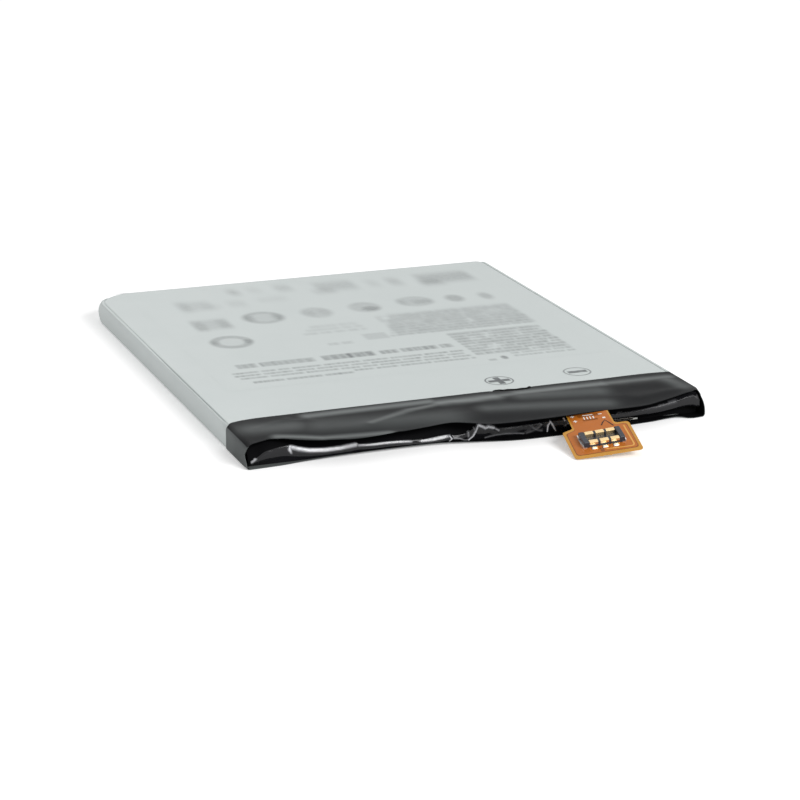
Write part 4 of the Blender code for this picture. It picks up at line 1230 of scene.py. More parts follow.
    def edges(self, x: float, z: float) -> tuple[float, float, float, float]:
        """Finds the sleeve's ends at a point of its section.

        Args:
            x: the point's place across the pack.
            z: its height.

        Returns:
            The rear edge, the front edge, the sag at the front, and where the tape comes free.
        """
        height = (z + Pack.BOND) / (self.inner_top + Pack.BOND)
        lip, foot = through_knots(self.lip, x), through_knots(self.foot, x)
        upper = smooth((height - 1 + self.upper_share) / self.upper_share)
        if abs(x) > Pack.HALF_WIDTH - self.corner_zone:
            upper = height ** 3
        front = Pack.MOUTH_Y - (foot + (lip - foot) * upper)
        if x < 0:
            front += (self.side_setback * bell(height - 0.5, self.setback_width)
                      * smooth((-x - self.setback_from) / self.setback_run))
        sag = (max(through_knots(self.foot, x, 2), 0.0) * (1 - upper)
               - through_knots(self.lip, x, 2) * upper)
        rear = Pack.MOUTH_Y + self.side_rear
        rear += ((Pack.MOUTH_Y + through_knots(self.rear, x) - rear)
                 * smooth((height - 1 + self.rear_share) / self.rear_share))
        return rear, front, sag, Pack.TERRACE_FRONT - Pack.BOND + self.free_top * upper

    def paint_sheen(self, shape: bmesh.types.BMesh) -> None:
        """Paints sheen into the tape's colour: bands of painted highlight on its top, and a painted
        lighter tone on its other faces that grows towards the rear.

        Args:
            shape: the sleeve, which gets its mark attribute.
        """
        mark = shape.verts.layers.float.new("mark")
        for vertex in shape.verts:
            x, y, z = vertex.co / MM
            # Painted highlight bands on the top; a painted lighter tone on the other faces, growing
            # towards the rear
            if z > self.inner_top - self.sheen_foot:
                vertex[mark] = self.sheen_gain * max(zone.at(x, y) for zone in self.painted_sheens)
            else:
                vertex[mark] = self.side_sheen + self.side_sheen_more * smooth(
                    (y - self.side_sheen_from) / self.side_sheen_run)

    def freedom(self, y: float, x: float, z: float) -> float:
        """Says how far the sleeve has come free at a place, from 0 to 1 at its front edge.

        Args:
            y: the place along the pack.
            x: the place across the pack of a point of the section.
            z: the height of that point.

        Returns:
            The share of the way from the tight section to the loose one.
        """
        _, front, _, free_from = self.edges(x, z)
        return smooth((free_from - y) / (free_from - front))

    def relief(self, x: float, y: float, z: float, rear: float) -> float:
        """Gives the height of the tape's soft folds above its plain form.

        Args:
            x: the place across the pack.
            y: the place along it.
            z: its height.
            rear: where the tape's rear edge is there.

        Returns:
            The height, 0 off the top face.
        """
        if z < self.inner_top - 0.05:
            return 0.0
        held = (smooth((rear - y) / self.rear_bonded)
                * smooth((Pack.HALF_WIDTH - 1.0 - abs(x)) / self.sides_bonded))
        drift = self.drift * (1 + noise.noise(Vector((x * 0.16, y * 0.35, 2.0))))
        ridges = self.ridge_share * sum(ridge.at(x, y) for ridge in self.ridges)
        return held * min(drift + ridges, self.highest)

    def build(self) -> None:
        """Builds the sleeve with its open, wavy mouth."""
        tight = self.section(self.tight_right, self.tight_top, self.tight_foot)
        loose = self.section(self.loose_right, self.loose_left, self.loose_foot)
        count = len(tight)

        def place(across: float, along: float) -> Vector:
            """Lays one point of the sleeve's inner side."""
            index = round(across * count) % count
            (x, z), (wide_x, wide_z) = tight[index], loose[index]
            rear, front, sag, _ = self.edges(x, z)
            y = rear + (front - rear) * (1 - (1 - along) ** self.crowding)
            free = self.freedom(y, x, z)
            return Vector((x + (wide_x - x) * free, y,
                           z + (wide_z - z + sag) * free + self.relief(x, y, z, rear))) * MM

        shape = grid(count, self.rows, place)
        turn_outwards(shape)
        thickened(shape, self.tape, 1)
        for face in shape.faces:
            middle = face.calc_center_median() / MM
            if middle.z < self.folded_top and -self.half_inside < middle.x < self.folded_left:
                face.material_index = 0
        self.paint_sheen(shape)
        piece("sleeve", shape, [Finishes.SLEEVE, Finishes.ADHESIVE_AND_PAINTED_SHADE], "end_sleeve",
              50.0)


# Glossy tape over the board


@dataclass(frozen=True)
class Pinch:
    """A sharp crease pressed into the glossy tape's front wall, with a painted highlight along it,
    in millimetres; a crease of no height is only painted highlight.
    """

    points: Sequence[tuple[float, float]]
    width: float = 0.16
    height: float = 0.12
    painted_highlight: float = 0.9
    line: float = 0.07
    reach: float = 1.5

    def away(self, x: float, z: float) -> float:
        """Gives the distance of a place of the wall from the crease.

        Args:
            x: the place across the pack.
            z: its height.

        Returns:
            The distance, without end beyond the crease's reach.
        """
        if not self.points[0][0] - self.reach < x < self.points[-1][0] + self.reach:
            return math.inf
        return min(from_line(Vector((x, z)), Vector(a), Vector(b))
                   for a, b in zip(self.points, self.points[1:]))


@dataclass
class BoardTape:
    """The crumpled glossy tape over the board and down in front of it, in millimetres."""

    sleeve: EndSleeve
    tape: float = 0.05
    half: float = 30.5
    foot: float = 0.035
    wall: float = Pack.TERRACE_FRONT - 1.0
    deepest: float = Pack.TERRACE_FRONT - 0.12
    fine_from: float = -5.0
    fine_to: float = 12.5
    coarse_step: float = 0.13
    fine_step: float = 0.05
    # Bounds of the dark dull finish, which is painted shade above the fold, under the tuck and at
    # the left end
    matt_behind: float = -29.4
    matt_left: float = -30.22
    matt_to: float = 26.0
    matt_above: float = 0.04
    matt_wall: float = 0.10
    tucked_from: float = 12.0
    tuck_matt: float = 0.30
    wall_from: float = -36.1
    wall_run: float = 0.3
    painted_highlight_before: float = -36.2
    crumple: float = 0.022
    below_run: float = 0.4
    outer_share: float = 0.6
    # Quads between each two guide points of the section, and the guide point that ends the fold
    spans: tuple[int, ...] = (5, 3, 3, 4, 4, 3, 2, 3, 2, 3, 5, 4)
    fold_end: int = 9
    # The rear edge, as rows of (x, distance behind the mouth)
    rear: Knots = (
        (-31.0, 8.20), (5.0, 8.90), (5.4, 10.15), (6.3, 10.50), (7.0, 10.25), (7.5, 10.30),
        (8.6, 10.05), (9.4, 10.15), (10.2, 10.10), (10.6, 10.45), (10.8, 10.35), (11.0, 9.00),
        (31.0, 9.20),
    )
    # The long fold, as rows of (x, height of its middle, width, tilt in degrees)
    fold: Knots = (
        (-30.6, 0.22, 0.08, 18.0), (-30.2, 0.55, 0.10, 22.0), (-29.4, 0.90, 0.12, 26.0),
        (-28.4, 1.54, 0.12, 24.0), (-27.3, 1.80, 0.12, 20.0), (-26.0, 2.04, 0.14, 22.0),
        (-25.1, 2.02, 0.40, 27.0), (-24.1, 1.66, 0.55, 27.0), (-22.7, 1.31, 0.56, 27.0),
        (-20.7, 1.13, 0.56, 27.0), (-18.8, 1.15, 0.56, 27.0), (-17.4, 1.28, 0.56, 27.0),
        (-16.6, 1.34, 0.46, 27.0), (-16.2, 1.20, 0.18, 27.0), (-14.4, 1.08, 0.30, 27.0),
        (-12.2, 1.08, 0.26, 27.0), (-10.2, 0.98, 0.22, 27.0), (-8.8, 0.86, 0.20, 16.0),
        (-8.0, 0.80, 0.24, 27.0), (-6.6, 0.82, 0.42, 27.0), (-5.2, 0.93, 0.46, 27.0),
        (-4.3, 1.02, 0.30, 30.0), (-3.4, 0.85, 0.20, 14.0), (-2.2, 0.95, 0.20, 10.0),
        (-1.1, 1.50, 0.24, 14.0), (-0.4, 2.08, 0.26, 22.0), (0.5, 1.66, 0.30, 27.0),
        (1.0, 1.72, 0.30, 27.0), (1.7, 1.50, 0.28, 27.0), (2.6, 1.20, 0.24, 16.0),
        (6.0, 1.20, 0.20, 12.0), (10.0, 1.30, 0.20, 12.0), (14.0, 1.25, 0.10, 8.0),
        (18.6, 1.30, 0.10, 8.0), (22.2, 1.42, 0.10, 8.0), (25.0, 1.72, 0.10, 8.0),
        (27.2, 2.13, 0.10, 8.0), (28.6, 2.45, 0.10, 8.0), (29.6, 2.45, 0.10, 8.0),
        (30.4, 1.90, 0.10, 8.0),
    )
    # The turn under the fold, as rows of (x, height, distance back)
    tuck: Knots = (
        (-30.0, 0.05, 0.3), (2.0, 0.05, 0.05), (11.0, 0.08, 0.05), (12.6, 0.30, 0.6),
        (18.6, 0.60, 1.2), (25.9, 0.58, 1.3), (29.5, 0.78, 1.3), (30.4, 1.00, 1.3),
    )
    # Creases, as rows of (points as (x, z), width, depth, strength of the painted highlight, width
    # of the painted highlight)
    pinches: Sequence[Pinch] = tuple(Pinch(*row) for row in (
        (((-25.0, 2.0), (-24.1, 1.66), (-22.7, 1.31), (-20.7, 1.13), (-18.8, 1.15), (-17.4, 1.28),
          (-16.7, 1.34)), 0.3, 0.0, 0.74, 0.20),
        (((-16.3, 1.18), (-14.4, 1.08), (-12.8, 1.08), (-11.2, 1.03), (-9.4, 0.90)),
         0.2, 0.0, 0.42, 0.12),
        (((-8.0, 0.80), (-6.6, 0.82), (-5.2, 0.95), (-4.3, 1.06)), 0.2, 0.0, 0.40, 0.14),
        (((19.0, 1.55), (20.7, 1.65), (22.6, 1.68), (24.5, 1.78), (26.0, 2.0), (27.1, 2.2)),
         0.3, 0.0, 0.10, 0.16),
        (((-25.2, 2.1), (-25.35, 1.75), (-25.1, 1.4)), 0.14, 0.08, 0.9, 0.12),
        (((-30.1, 0.62), (-29.6, 0.95)), 0.15, 0.05, 0.45, 0.13),
        (((-4.27, 1.04), (-3.99, 0.65), (-4.26, 0.34)), 0.14, 0.10, 0.8, 0.07),
        (((-3.72, 0.68), (-2.89, 0.56), (-2.2, 0.21), (-1.65, 0.18)), 0.14, 0.08, 0.35, 0.08),
        (((-1.65, 0.18), (-1.1, 0.65), (-0.76, 1.29), (-0.43, 2.19)), 0.14, 0.10, 0.95, 0.10),
        (((-2.05, 2.2), (-1.8, 1.4), (-1.72, 0.65)), 0.20, 0.05, 0.22, 0.12),
        (((-1.19, 2.27), (-0.9, 1.43)), 0.10, 0.05, 0.30, 0.07),
        (((-0.43, 2.1), (0.06, 1.9), (0.54, 1.61), (0.96, 1.74), (1.65, 1.52)),
         0.16, 0.12, 1.3, 0.15),
        (((1.65, 1.52), (2.36, 1.07)), 0.16, 0.08, 0.5, 0.12),
        (((0.56, 0.25), (1.81, 0.45), (3.2, 0.48), (4.6, 0.38), (5.86, 0.2)),
         0.22, 0.06, 0.22, 0.09),
        (((9.1, -0.1), (9.07, 0.8), (9.41, 1.44), (9.86, 0.71), (10.33, -0.1)),
         0.13, 0.12, 1.1, 0.08),
        (((11.16, 1.97), (11.44, 1.3)), 0.12, 0.10, 1.2, 0.08),
        (((11.37, 0.54), (11.98, 0.9)), 0.12, 0.08, 0.5, 0.05),
        (((7.0, 0.9), (7.6, 0.5), (8.3, 0.3)), 0.25, 0.10, 0.12, 0.12),
        (((6.2, 0.2), (7.4, 0.55), (8.2, 1.1)), 0.25, 0.10, 0.10, 0.14),
    ))

    def stations(self) -> list[float]:
        """Lists the tape's columns across the pack, closer together among its creases.

        Returns:
            The columns' places from left to right.
        """
        places = [-self.half]
        while places[-1] < self.half - 0.01:
            fine = self.fine_from <= places[-1] < self.fine_to
            step = self.fine_step if fine else self.coarse_step
            places.append(min(places[-1] + step, self.half))
        return places

    def section(self, x: float) -> list[Vector]:
        """Draws the tape's middle line at one place across the pack.

        Args:
            x: the place across the pack.

        Returns:
            The guide points as (y, z), from the rear edge to the foot.
        """
        top = Pack.CELL_TOP + Pack.BOND + self.tape / 2
        foot_z = self.foot + max(through_knots(self.sleeve.foot, x, 2), 0.0) * self.sleeve.freedom(
            Pack.TERRACE_FRONT - 0.9, x, -Pack.BOND)
        height, width, tilt = (through_knots(self.fold, x, column) for column in (1, 2, 3))
        tuck_z, tuck_back = through_knots(self.tuck, x, 1), through_knots(self.tuck, x, 2)
        down = Vector((-math.sin(math.radians(tilt)), -math.cos(math.radians(tilt))))
        middle = Vector((self.wall + 0.03 * noise.noise(Vector((x * 0.5, 7.0, 0.0))), height))
        upper, lower = middle - down * width / 2, middle + down * width / 2
        rise = max(top - upper.y, 0.2)
        turn = max(lower.y - 0.45 * (lower.y - foot_z), foot_z + tuck_z)
        over_cell = [
            Vector((Pack.MOUTH_Y + through_knots(self.rear, x), top)),
            Vector((Pack.CELL_FRONT + 0.9, top)),
            Vector((Pack.TERRACE_FRONT + 1.7, top - 0.02)),
            Vector((Pack.TERRACE_FRONT + 0.55, top - 0.16 * rise)),
        ]
        to_fold = [
            Vector((upper.x + 0.50, upper.y + 0.36 * rise)),
            Vector((upper.x + 0.16, upper.y + 0.08 + 0.06 * rise)),
        ]
        fold = [upper, middle - down * width / 6, middle + down * width / 6, lower]
        tucked = [
            Vector((lower.x + 0.03, min(turn, lower.y - 0.05))),
            Vector((min(lower.x + 0.12 + 0.55 * tuck_back, self.deepest),
                    foot_z + (turn - foot_z) * (0.35 + 0.62 * smooth(tuck_back / 0.9)))),
            Vector((min(lower.x + 0.20 + 0.65 * tuck_back, self.deepest), foot_z)),
        ]
        return over_cell + to_fold + fold + tucked

    def within(self, x: float, z: float) -> float:
        """Keeps a place across the pack inside the sleeve's rounded corners.

        Args:
            x: the place across the pack.
            z: its height.

        Returns:
            The kept place across the pack.
        """
        radius, low = self.sleeve.tight_top, self.sleeve.inner_top - self.sleeve.tight_top
        reach = math.sqrt(max(radius ** 2 - max(z - low, 0.0) ** 2, 0.01)) - radius
        limit = Pack.HALF_WIDTH - self.sleeve.tape + reach - 0.06
        return min(max(x, -limit), limit)

    def build(self) -> None:
        """Builds the tape, with its long fold and its creases."""
        rows = sum(self.spans)
        marks: list[tuple[int, float]] = []
        for index, steps in enumerate(self.spans):
            marks += [(index, step / steps) for step in range(steps)]
        marks.append((len(self.spans) - 1, 1.0))
        places = self.stations()
        sections = [self.section(x) for x in places]
        columns = len(places) - 1

        def place(across: float, along: float) -> Vector:
            """Lays one point of the tape's middle surface."""
            column = round(across * columns)
            x, guide = places[column], sections[column]
            index, t = marks[round(along * rows)]
            p0, p1 = guide[max(index - 1, 0)], guide[index]
            p2, p3 = guide[index + 1], guide[min(index + 2, len(guide) - 1)]
            point = 0.5 * (2 * p1 + (p2 - p0) * t + (2 * p0 - 5 * p1 + 4 * p2 - p3) * t**2
                           + (3 * p1 - p0 - 3 * p2 + p3) * t**3)
            on_wall = smooth((self.wall_from - point.x) / self.wall_run)
            below = 0.3 + 0.7 * smooth((guide[self.fold_end].y - point.y) / self.below_run)
            crumple = self.crumple * below * noise.noise(Vector((x * 0.8, point.y * 1.2, 4.0)))
            push = sum(pinch.height * bell(pinch.away(x, point.y), pinch.width)
                       for pinch in self.pinches)
            return Vector((self.within(x, point.y), point.x - on_wall * (crumple + push),
                           point.y)) * MM

        shape = grid(columns, rows, place)
        turn_outwards(shape)
        thickened(shape, self.tape * self.outer_share)
        # Faces in shade take the dark dull finish: painted shade
        for face in shape.faces:
            face.material_index = int(self.matt(face.calc_center_median() / MM))
        self.painted_highlight(shape)
        piece("glossy_tape", shape, [Finishes.GLOSSY, Finishes.ADHESIVE_AND_PAINTED_SHADE], "board_tape",
              60.0)

    def matt(self, place: Vector) -> bool:
        """Says where the tape takes the dark, dull finish instead of its gloss: behind the sleeve,
        above its fold, under its tuck and at its left end. Above the fold, under the tuck and at
        the left end this finish is painted shade.

        Args:
            place: the place, in millimetres.

        Returns:
            Whether the tape is dull there.
        """
        height, width = (through_knots(self.fold, place.x, column) for column in (1, 2))
        above = (place.x < self.matt_to and place.z > height + 0.5 * width + self.matt_above
                 and place.y > self.wall + self.matt_wall)
        under = (place.x > self.tucked_from
                 and place.z < through_knots(self.tuck, place.x, 1) + self.tuck_matt)
        return place.y > self.matt_behind or above or under or place.x < self.matt_left

    def painted_highlight(self, shape: bmesh.types.BMesh) -> None:
        """Paints highlights into the tape's colour: white lines along the creases.

        Args:
            shape: the tape, which gets its mark attribute.
        """
        mark = shape.verts.layers.float.new("mark")
        for vertex in shape.verts:
            x, y, z = vertex.co / MM
            # Painted highlight: white lines along the creases on the front wall
            if y < self.painted_highlight_before:
                vertex[mark] = max(pinch.painted_highlight * bell(pinch.away(x, z), pinch.line)
                                   for pinch in self.pinches)


# Flexible tail


@dataclass
class FlexTail:
    """The flexible printed tail, drawn flat and then bent, sizes in millimetres."""

    root_x: float = 14.45
    root_back: float = 0.55
    thickness: float = 0.10
    head_width: float = 8.71
    head_length: float = 6.85
    left_shoulder: float = 6.30
    corner: float = 0.50
    neck_left: float = -2.88
    neck_right: float = 2.57
    fillet: float = 0.50
    burrs: tuple[float, ...] = (-0.92, 0.20)
    burr_reach: float = 0.13
    burr_half: float = 0.35
    root_length: float = 1.60
    neck_length: float = 1.16
    neck_drooped: float = 3.11
    neck_top: float = 2.88
    rise_angle: float = math.radians(32.0)
    rise_radius: float = 1.0
    droop_angle: float = math.radians(13.1)
    droop_radius: float = 4.0
    roll: float = math.radians(5.7)
    yaw: float = math.radians(-8.6)
    film: float = 0.012
    margin: float = 0.48
    front_margin: float = 0.72
    border: float = 0.10
    solder_aside: float = -0.08
    solder_pitch: float = 1.38
    solder_front: float = 1.50
    solder_back: float = 4.78
    solder_half: float = 0.33
    solder_length: float = 0.62
    solder_foot: float = 0.012
    solder_top: float = 0.17
    solder_radius: float = 0.12
    neck_margin: float = 0.22
    ink: float = 0.010
    stroke: float = 0.14
    wide_stroke: float = 0.30
    wide_mark: int = 6

    def bends(self) -> list[tuple[float, float]]:
        """Lists the tail's stretches from root to head.

        Returns:
            Each stretch as (length, turn), the turn in radians, positive upwards.
        """
        rise = self.neck_top - (Pack.BOARD_TOP + Pack.BOND + self.thickness)
        in_bends = 2 * self.rise_radius * (1 - math.cos(self.rise_angle))
        rising, drooping = self.rise_radius * self.rise_angle, self.droop_radius * self.droop_angle
        return [
            (self.root_length, 0.0), (rising, self.rise_angle),
            ((rise - in_bends) / math.sin(self.rise_angle), 0.0), (rising, -self.rise_angle),
            (self.neck_length, 0.0), (drooping, -self.droop_angle), (self.neck_drooped, 0.0),
            (self.head_length, 0.0),
        ]

    def length(self) -> float:
        """Gives the tail's whole flat length."""
        return sum(length for length, _ in self.bends())

    def frame(self, distance: float) -> Matrix:
        """Finds the tail's frame at a distance from its root.

        Args:
            distance: the distance along the tail in millimetres.

        Returns:
            The frame in millimetres: X across, Y back to the root, Z out of the top.
        """
        y, z, angle, run = 0.0, Pack.BOARD_TOP + Pack.BOND + self.thickness, 0.0, 0.0
        for length, turn in self.bends():
            part = min(max(distance - run, 0.0), length)
            bent = turn * part / length
            chord = part if bent == 0.0 else part * math.sin(bent / 2) / (bent / 2)
            y -= chord * math.cos(angle + bent / 2)
            z += chord * math.sin(angle + bent / 2)
            angle += bent
            run += length
        roll = self.roll * smooth((distance - self.root_length)
                                  / (self.length() - self.root_length - self.head_length))
        place = Matrix.Translation((self.root_x, Pack.BOARD_BACK - self.root_back, 0.0))
        return (place @ Matrix.Rotation(self.yaw, 4, "Z") @ Matrix.Translation((0.0, y, z))
                @ Matrix.Rotation(-angle, 4, "X") @ Matrix.Rotation(-roll, 4, "Y"))

    def bent(self, shape: bmesh.types.BMesh) -> bmesh.types.BMesh:
        """Divides a flat shape at the tail's bends and folds it along them.

        Args:
            shape: a flat shape in metres, Y measured back from the head's front edge.

        Returns:
            The same shape, bent.
        """
        whole = self.length()
        run = 0.0
        furthest = max(vertex.co.y for vertex in shape.verts) / MM
        for length, turn in self.bends()[:-1]:
            steps = 8 if turn else 3
            for step in range(1, steps + 1):
                cut = whole - run - length * step / steps
                if 0.0 < cut < furthest:
                    bmesh.ops.bisect_plane(
                        shape, geom=[*shape.verts, *shape.edges, *shape.faces],
                        plane_co=(0.0, cut * MM, 0.0), plane_no=(0.0, 1.0, 0.0))
            run += length
        for vertex in shape.verts:
            x, y, z = vertex.co / MM
            vertex.co = self.frame(whole - max(y, 0.0)) @ Vector((x, min(y, 0.0), z)) * MM
        bmesh.ops.recalc_face_normals(shape, faces=shape.faces)
        return shape

    def outline(self, inset: float, front: float, burrs: bool) -> list[tuple[float, float]]:
        """Draws the tail's flat outline.

        Args:
            inset: how far its sides are drawn in.
            front: how far its front edge is drawn back.
            burrs: whether it has the two burrs of the front edge.

        Returns:
            The outline as (x, distance behind the head's front edge).
        """
        half = self.head_width / 2 - inset
        root = self.length()
        corners: list[tuple[float, float, float]] = [(-half, front, self.corner)]
        if burrs:
            for burr in self.burrs:
                corners += [(burr - self.burr_half, front, 0.0),
                            (burr, front - self.burr_reach, 0.0),
                            (burr + self.burr_half / 2, front, 0.0)]
        neck = min(inset, self.neck_margin)
        left, right = self.neck_left + neck, self.neck_right - neck
        rear = self.head_length - inset
        corners += [
            (half, front, self.corner), (half, rear, self.corner), (right, rear, self.fillet),
            (right, root, 0.0), (left, root, 0.0), (left, rear, self.fillet),
            (-half, self.left_shoulder - inset, self.corner),
        ]
        return filleted(corners)

    def strip(self, points: Sequence[tuple[float, float]], width: float,
              level: float) -> bmesh.types.BMesh:
        """Makes a narrow flat strip.

        Args:
            points: the strip's middle line on the flat tail.
            width: its width.
            level: its top.

        Returns:
            The strip, not bent yet.
        """
        line = [Vector(point) for point in points]
        left: list[Vector] = []
        right: list[Vector] = []
        for index, point in enumerate(line):
            before = (point - line[index - 1]).normalized() if index else Vector((0.0, 0.0))
            last = index == len(line) - 1
            after = Vector((0.0, 0.0)) if last else (line[index + 1] - point).normalized()
            along = (before + after).normalized()
            across = Vector((-along.y, along.x)) * width / 2
            left.append(point + across)
            right.append(point - across)
        return plate([(p.x, p.y) for p in left + right[::-1]], level - self.ink, level)

    def layer(self, name: str, shape: bmesh.types.BMesh, finish: Finish,
              crease: float = 35.0) -> None:
        """Bends one flat layer of the tail and adds it as a piece.

        Args:
            name: the piece's name.
            shape: the flat layer.
            finish: its finish.
            crease: edges that turn by more than this many degrees stay sharp.
        """
        piece(name, self.bent(shape), [finish], "flex_tail", crease)

    def marks(self) -> None:
        """Builds the copper line, the etched gap and the small white marks."""
        for name, points, width, lift, finish in (
                ("tail_trace", ((-0.1, 1.24), (1.6, 1.16), (3.0, 1.10), (3.38, 1.16), (3.52, 1.5),
                                (3.50, 4.0), (3.46, 6.0)), 0.19, 1.6, Finishes.TRACE),
                ("tail_gap", ((0.80, 6.70), (1.15, 7.35), (1.55, 7.85), (1.95, 7.0), (2.25, 6.25)),
                 0.17, 1.7, Finishes.GAP),
                ("tail_patch", ((-0.62, 0.82), (-0.56, 1.30), (-0.66, 1.75)), 0.46, 1.5,
                 Finishes.BROWN)):
            self.layer(name, self.strip(points, width, self.film * lift), finish)
        strokes = (
            ((-2.46, 9.55), (-1.96, 9.55)), ((-2.21, 9.30), (-2.21, 9.80)),
            ((-2.36, 8.43), (-1.86, 8.43)), ((-2.11, 8.18), (-2.11, 8.68)),
            ((1.10, 9.43), (1.60, 9.43)), ((1.42, 8.44), (1.80, 8.44)),
            ((-0.85, 8.55), (-0.85, 9.15)), ((-0.45, 8.55), (-0.45, 9.15)),
            ((-0.05, 8.55), (-0.05, 9.15)), ((0.35, 8.55), (0.35, 9.15)),
            ((-0.90, 9.50), (0.40, 9.50)), ((-1.90, 10.35), (-1.50, 10.35)),
            ((-0.90, 10.35), (-0.50, 10.35)), ((0.10, 10.35), (0.45, 10.35)),
            ((1.00, 10.30), (1.30, 10.30)),
        )
        for number, stroke in enumerate(strokes, 1):
            width = self.wide_stroke if number == self.wide_mark else self.stroke
            self.layer(f"tail_mark_{number}", self.strip(stroke, width, self.film * 1.7),
                       Finishes.WHITE_INK)

    def solder(self) -> None:
        """Builds the solder over the contacts' six tails."""
        joints = bmesh.new()
        for index in range(3):
            x = self.solder_aside + (index - 1) * self.solder_pitch
            for near in (self.solder_front, self.solder_back):
                shape = slab((x - self.solder_half, near, self.solder_foot),
                             (x + self.solder_half, near + self.solder_length, self.solder_top))
                round_edges(shape, self.solder_radius, 4, level_at(self.solder_top))
                made = bpy.data.meshes.new("joint")
                shape.to_mesh(made)
                shape.free()
                joints.from_mesh(made)
                bpy.data.meshes.remove(made)
        piece("contact_solder", self.bent(joints), [Finishes.SOLDER], None, 50.0)

    def build(self) -> None:
        """Builds the amber base film, the dark border and the orange coverlay, then their marks."""
        wide, wide_front = self.margin - self.border, self.front_margin - self.border
        for name, outline, low, high, finish in (
                ("tail_base_film", self.outline(0.0, 0.0, True), -self.thickness, -self.film,
                 Finishes.BASE_FILM),
                ("tail_border", self.outline(wide, wide_front, False), -self.film, 0.0,
                 Finishes.BROWN),
                ("tail_coverlay", self.outline(self.margin, self.front_margin, False), -self.film,
                 self.film * 0.6, Finishes.COVERLAY)):
            self.layer(name, plate(outline, low, high), finish, 25.0)
        self.marks()
        self.solder()


# Pieces that keep their CAD shape


class Keep(Enum):
    """CAD nodes whose shape stays, and the finish that each group takes."""

    HOUSING = (Finishes.HOUSING, ("connector_housing",))
    GOLD = (Finishes.GOLD, tuple(f"contact_{number}" for number in range(1, 7)))
    TIN = (Finishes.TIN, ("hold_down_left", "hold_down_right"))
    STIFFENER = (Finishes.STIFFENER, ("head_stiffener",))
    BOARD = (Finishes.SOLDER_MASK, ("protection_board",))
    FOAM = (Finishes.FOAM, ("board_foam_pad",))
    POLYIMIDE = (Finishes.POLYIMIDE, ("terrace_insulation",))
    ALUMINIUM = (Finishes.TAB_ALUMINIUM, ("positive_tab",))
    NICKEL = (Finishes.NICKEL, ("negative_tab", "positive_weld_pad", "negative_weld_pad"))
    FILM = (Finishes.TAB_FILM, ("positive_tab_film", "negative_tab_film"))
    CHIPS = (Finishes.CHIP, ("dual_mosfet", "protection_ic"))
    CERAMIC = (Finishes.CERAMIC, ("chip_fuse", "thermistor"))
    RESISTORS = (Finishes.RESISTOR,
                 ("sense_resistor", *(f"chip_resistor_{number}" for number in range(1, 4))))
    CAPACITORS = (Finishes.CAPACITOR,
                  tuple(f"chip_capacitor_{number}" for number in range(1, 4)))

    def dress(self) -> None:
        """Gives the group's nodes their finish."""
        finish, nodes = self.value
        for name in nodes:
            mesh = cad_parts[name].data
            mesh.materials.clear()
            mesh.materials.append(Finishes.of(finish))
            LOG.info("%s: kept, %s", name, finish.name)


# Studio


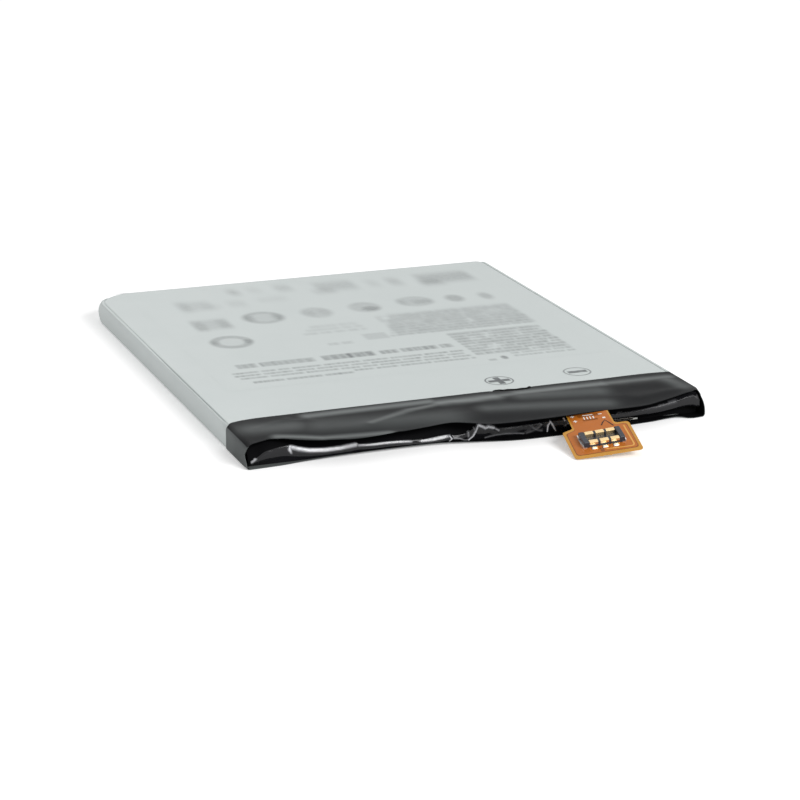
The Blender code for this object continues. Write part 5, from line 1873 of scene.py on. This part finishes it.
@dataclass
class Studio:
    """Camera, soft lights, white surroundings and pale floor."""

    azimuth: float = 0.3629
    elevation: float = 0.3003
    roll: float = 0.0019
    place: tuple[float, float, float] = (-116.26, -314.11, 98.36)
    lens: float = 2523.1 / 800 * 36
    ambience: float = 0.50
    floor_level: float = -0.095
    floor_size: float = 4.0
    floor_patch: float = 0.25
    floor_glow: float = 0.30

    def camera(self) -> None:
        """Sets the camera where the photograph was taken from."""
        back = Vector((-math.sin(self.azimuth) * math.cos(self.elevation),
                       -math.cos(self.azimuth) * math.cos(self.elevation),
                       math.sin(self.elevation)))
        right = Vector((math.cos(self.azimuth), -math.sin(self.azimuth), 0.0))
        up = back.cross(right)
        across = right * math.cos(self.roll) + up * math.sin(self.roll)
        upward = up * math.cos(self.roll) - right * math.sin(self.roll)
        data = bpy.data.cameras.new("camera")
        data.sensor_width = 36.0
        data.lens = self.lens
        data.clip_start = 0.01
        made = bpy.data.objects.new("camera", data)
        turn = Matrix((across, upward, back)).transposed().to_4x4()
        made.matrix_world = Matrix.Translation(Vector(self.place) * MM) @ turn
        bpy.context.scene.collection.objects.link(made)
        bpy.context.scene.camera = made

    def lamp(self, name: str, place: tuple[float, float, float], size: tuple[float, float],
             power: float) -> None:
        """Adds a soft rectangular lamp that faces the pack.

        Args:
            name: the lamp's name.
            place: where it hangs, in metres.
            size: its width and height in metres.
            power: its power in watts.
        """
        data = bpy.data.lights.new(name, "AREA")
        data.shape = "RECTANGLE"
        data.size, data.size_y = size
        data.energy = power
        made = bpy.data.objects.new(name, data)
        made.location = place
        made.rotation_euler = (-Vector(place)).to_track_quat("-Z", "Y").to_euler()
        bpy.context.scene.collection.objects.link(made)

    def seen_white(self, tree: bpy.types.NodeTree) -> bpy.types.NodeSocket:
        """Tells the rays that show things from the rays that light them.

        Args:
            tree: the node tree that gets the test.

        Returns:
            The socket that is 1 for camera, mirror and glass rays, and 0 for all others.
        """
        path = tree.nodes.new("ShaderNodeLightPath")
        either = path.outputs["Is Camera Ray"]
        for other in ("Is Glossy Ray", "Is Transmission Ray"):
            larger = tree.nodes.new("ShaderNodeMath")
            larger.operation = "MAXIMUM"
            tree.links.new(either, larger.inputs[0])
            tree.links.new(path.outputs[other], larger.inputs[1])
            either = larger.outputs[0]
        return either

    def surroundings(self) -> None:
        """Makes the white room: even light, and plain white where it is seen."""
        world = bpy.data.worlds.new("white_room")
        world.use_nodes = True
        tree = world.node_tree
        mix = tree.nodes.new("ShaderNodeMixShader")
        tree.links.new(self.seen_white(tree), mix.inputs[0])
        light, seen = tree.nodes["Background"], tree.nodes.new("ShaderNodeBackground")
        for target, (node, strength) in zip(mix.inputs[1:], ((light, self.ambience), (seen, 1.0))):
            node.inputs["Strength"].default_value = strength
            node.inputs["Color"].default_value = (1.0, 1.0, 1.0, 1.0)
            tree.links.new(node.outputs[0], target)
        tree.links.new(mix.outputs[0], tree.nodes["World Output"].inputs["Surface"])
        bpy.context.scene.world = world

    def floor(self) -> None:
        """Lays the pale floor, which still takes the pack's shadow."""
        shape = bmesh.new()
        bmesh.ops.create_grid(shape, x_segments=1, y_segments=1, size=self.floor_size / 2)
        bmesh.ops.translate(shape, vec=(0.0, 0.0, self.floor_level * MM), verts=shape.verts)
        mesh = bpy.data.meshes.new("floor")
        shape.to_mesh(mesh)
        shape.free()
        tree = Tree("pale_floor")
        cloud = tree.cloud(tree.place(), self.floor_patch)
        tree.join(tree.between(cloud, (0.93, 0.93, 0.93), (0.95, 0.95, 0.95)),
                  tree.shader.inputs["Base Color"])
        tree.shader.inputs["Roughness"].default_value = 1.0
        tree.shader.inputs["Specular IOR Level"].default_value = 0.0
        glow = tree.add("Emission", Strength=self.floor_glow)
        add = tree.add("AddShader")
        mix = tree.add("MixShader")
        tree.join(tree.shader.outputs[0], add.inputs[0])
        tree.join(glow.outputs[0], add.inputs[1])
        tree.join(self.seen_white(tree.material.node_tree), mix.inputs[0])
        tree.join(tree.shader.outputs[0], mix.inputs[1])
        tree.join(add.outputs[0], mix.inputs[2])
        tree.join(mix.outputs[0], tree.nodes["Material Output"].inputs["Surface"])
        mesh.materials.append(tree.material)
        made = bpy.data.objects.new("floor", mesh)
        bpy.context.scene.collection.objects.link(made)

    def build(self) -> None:
        """Sets up the whole studio."""
        self.camera()
        self.surroundings()
        self.floor()
        self.lamp("front_softbox", (0.27, -0.62, 0.43), (0.42, 0.24), 4.4)
        self.lamp("rear_softbox", (-0.15, 0.70, 0.45), (0.7, 0.3), 1.0)
        bpy.context.scene.view_settings.view_transform = "Standard"


def main() -> None:
    """Builds every sub-assembly round the frame, in order."""
    logging.basicConfig(level=logging.INFO, format="%(name)s %(message)s")
    Studio().build()
    Pouch().build()
    Print().build()
    sleeve = EndSleeve()
    sleeve.build()
    BoardTape(sleeve).build()
    FlexTail().build()
    for group in Keep:
        group.dress()


if __name__ == "__main__":
    main()
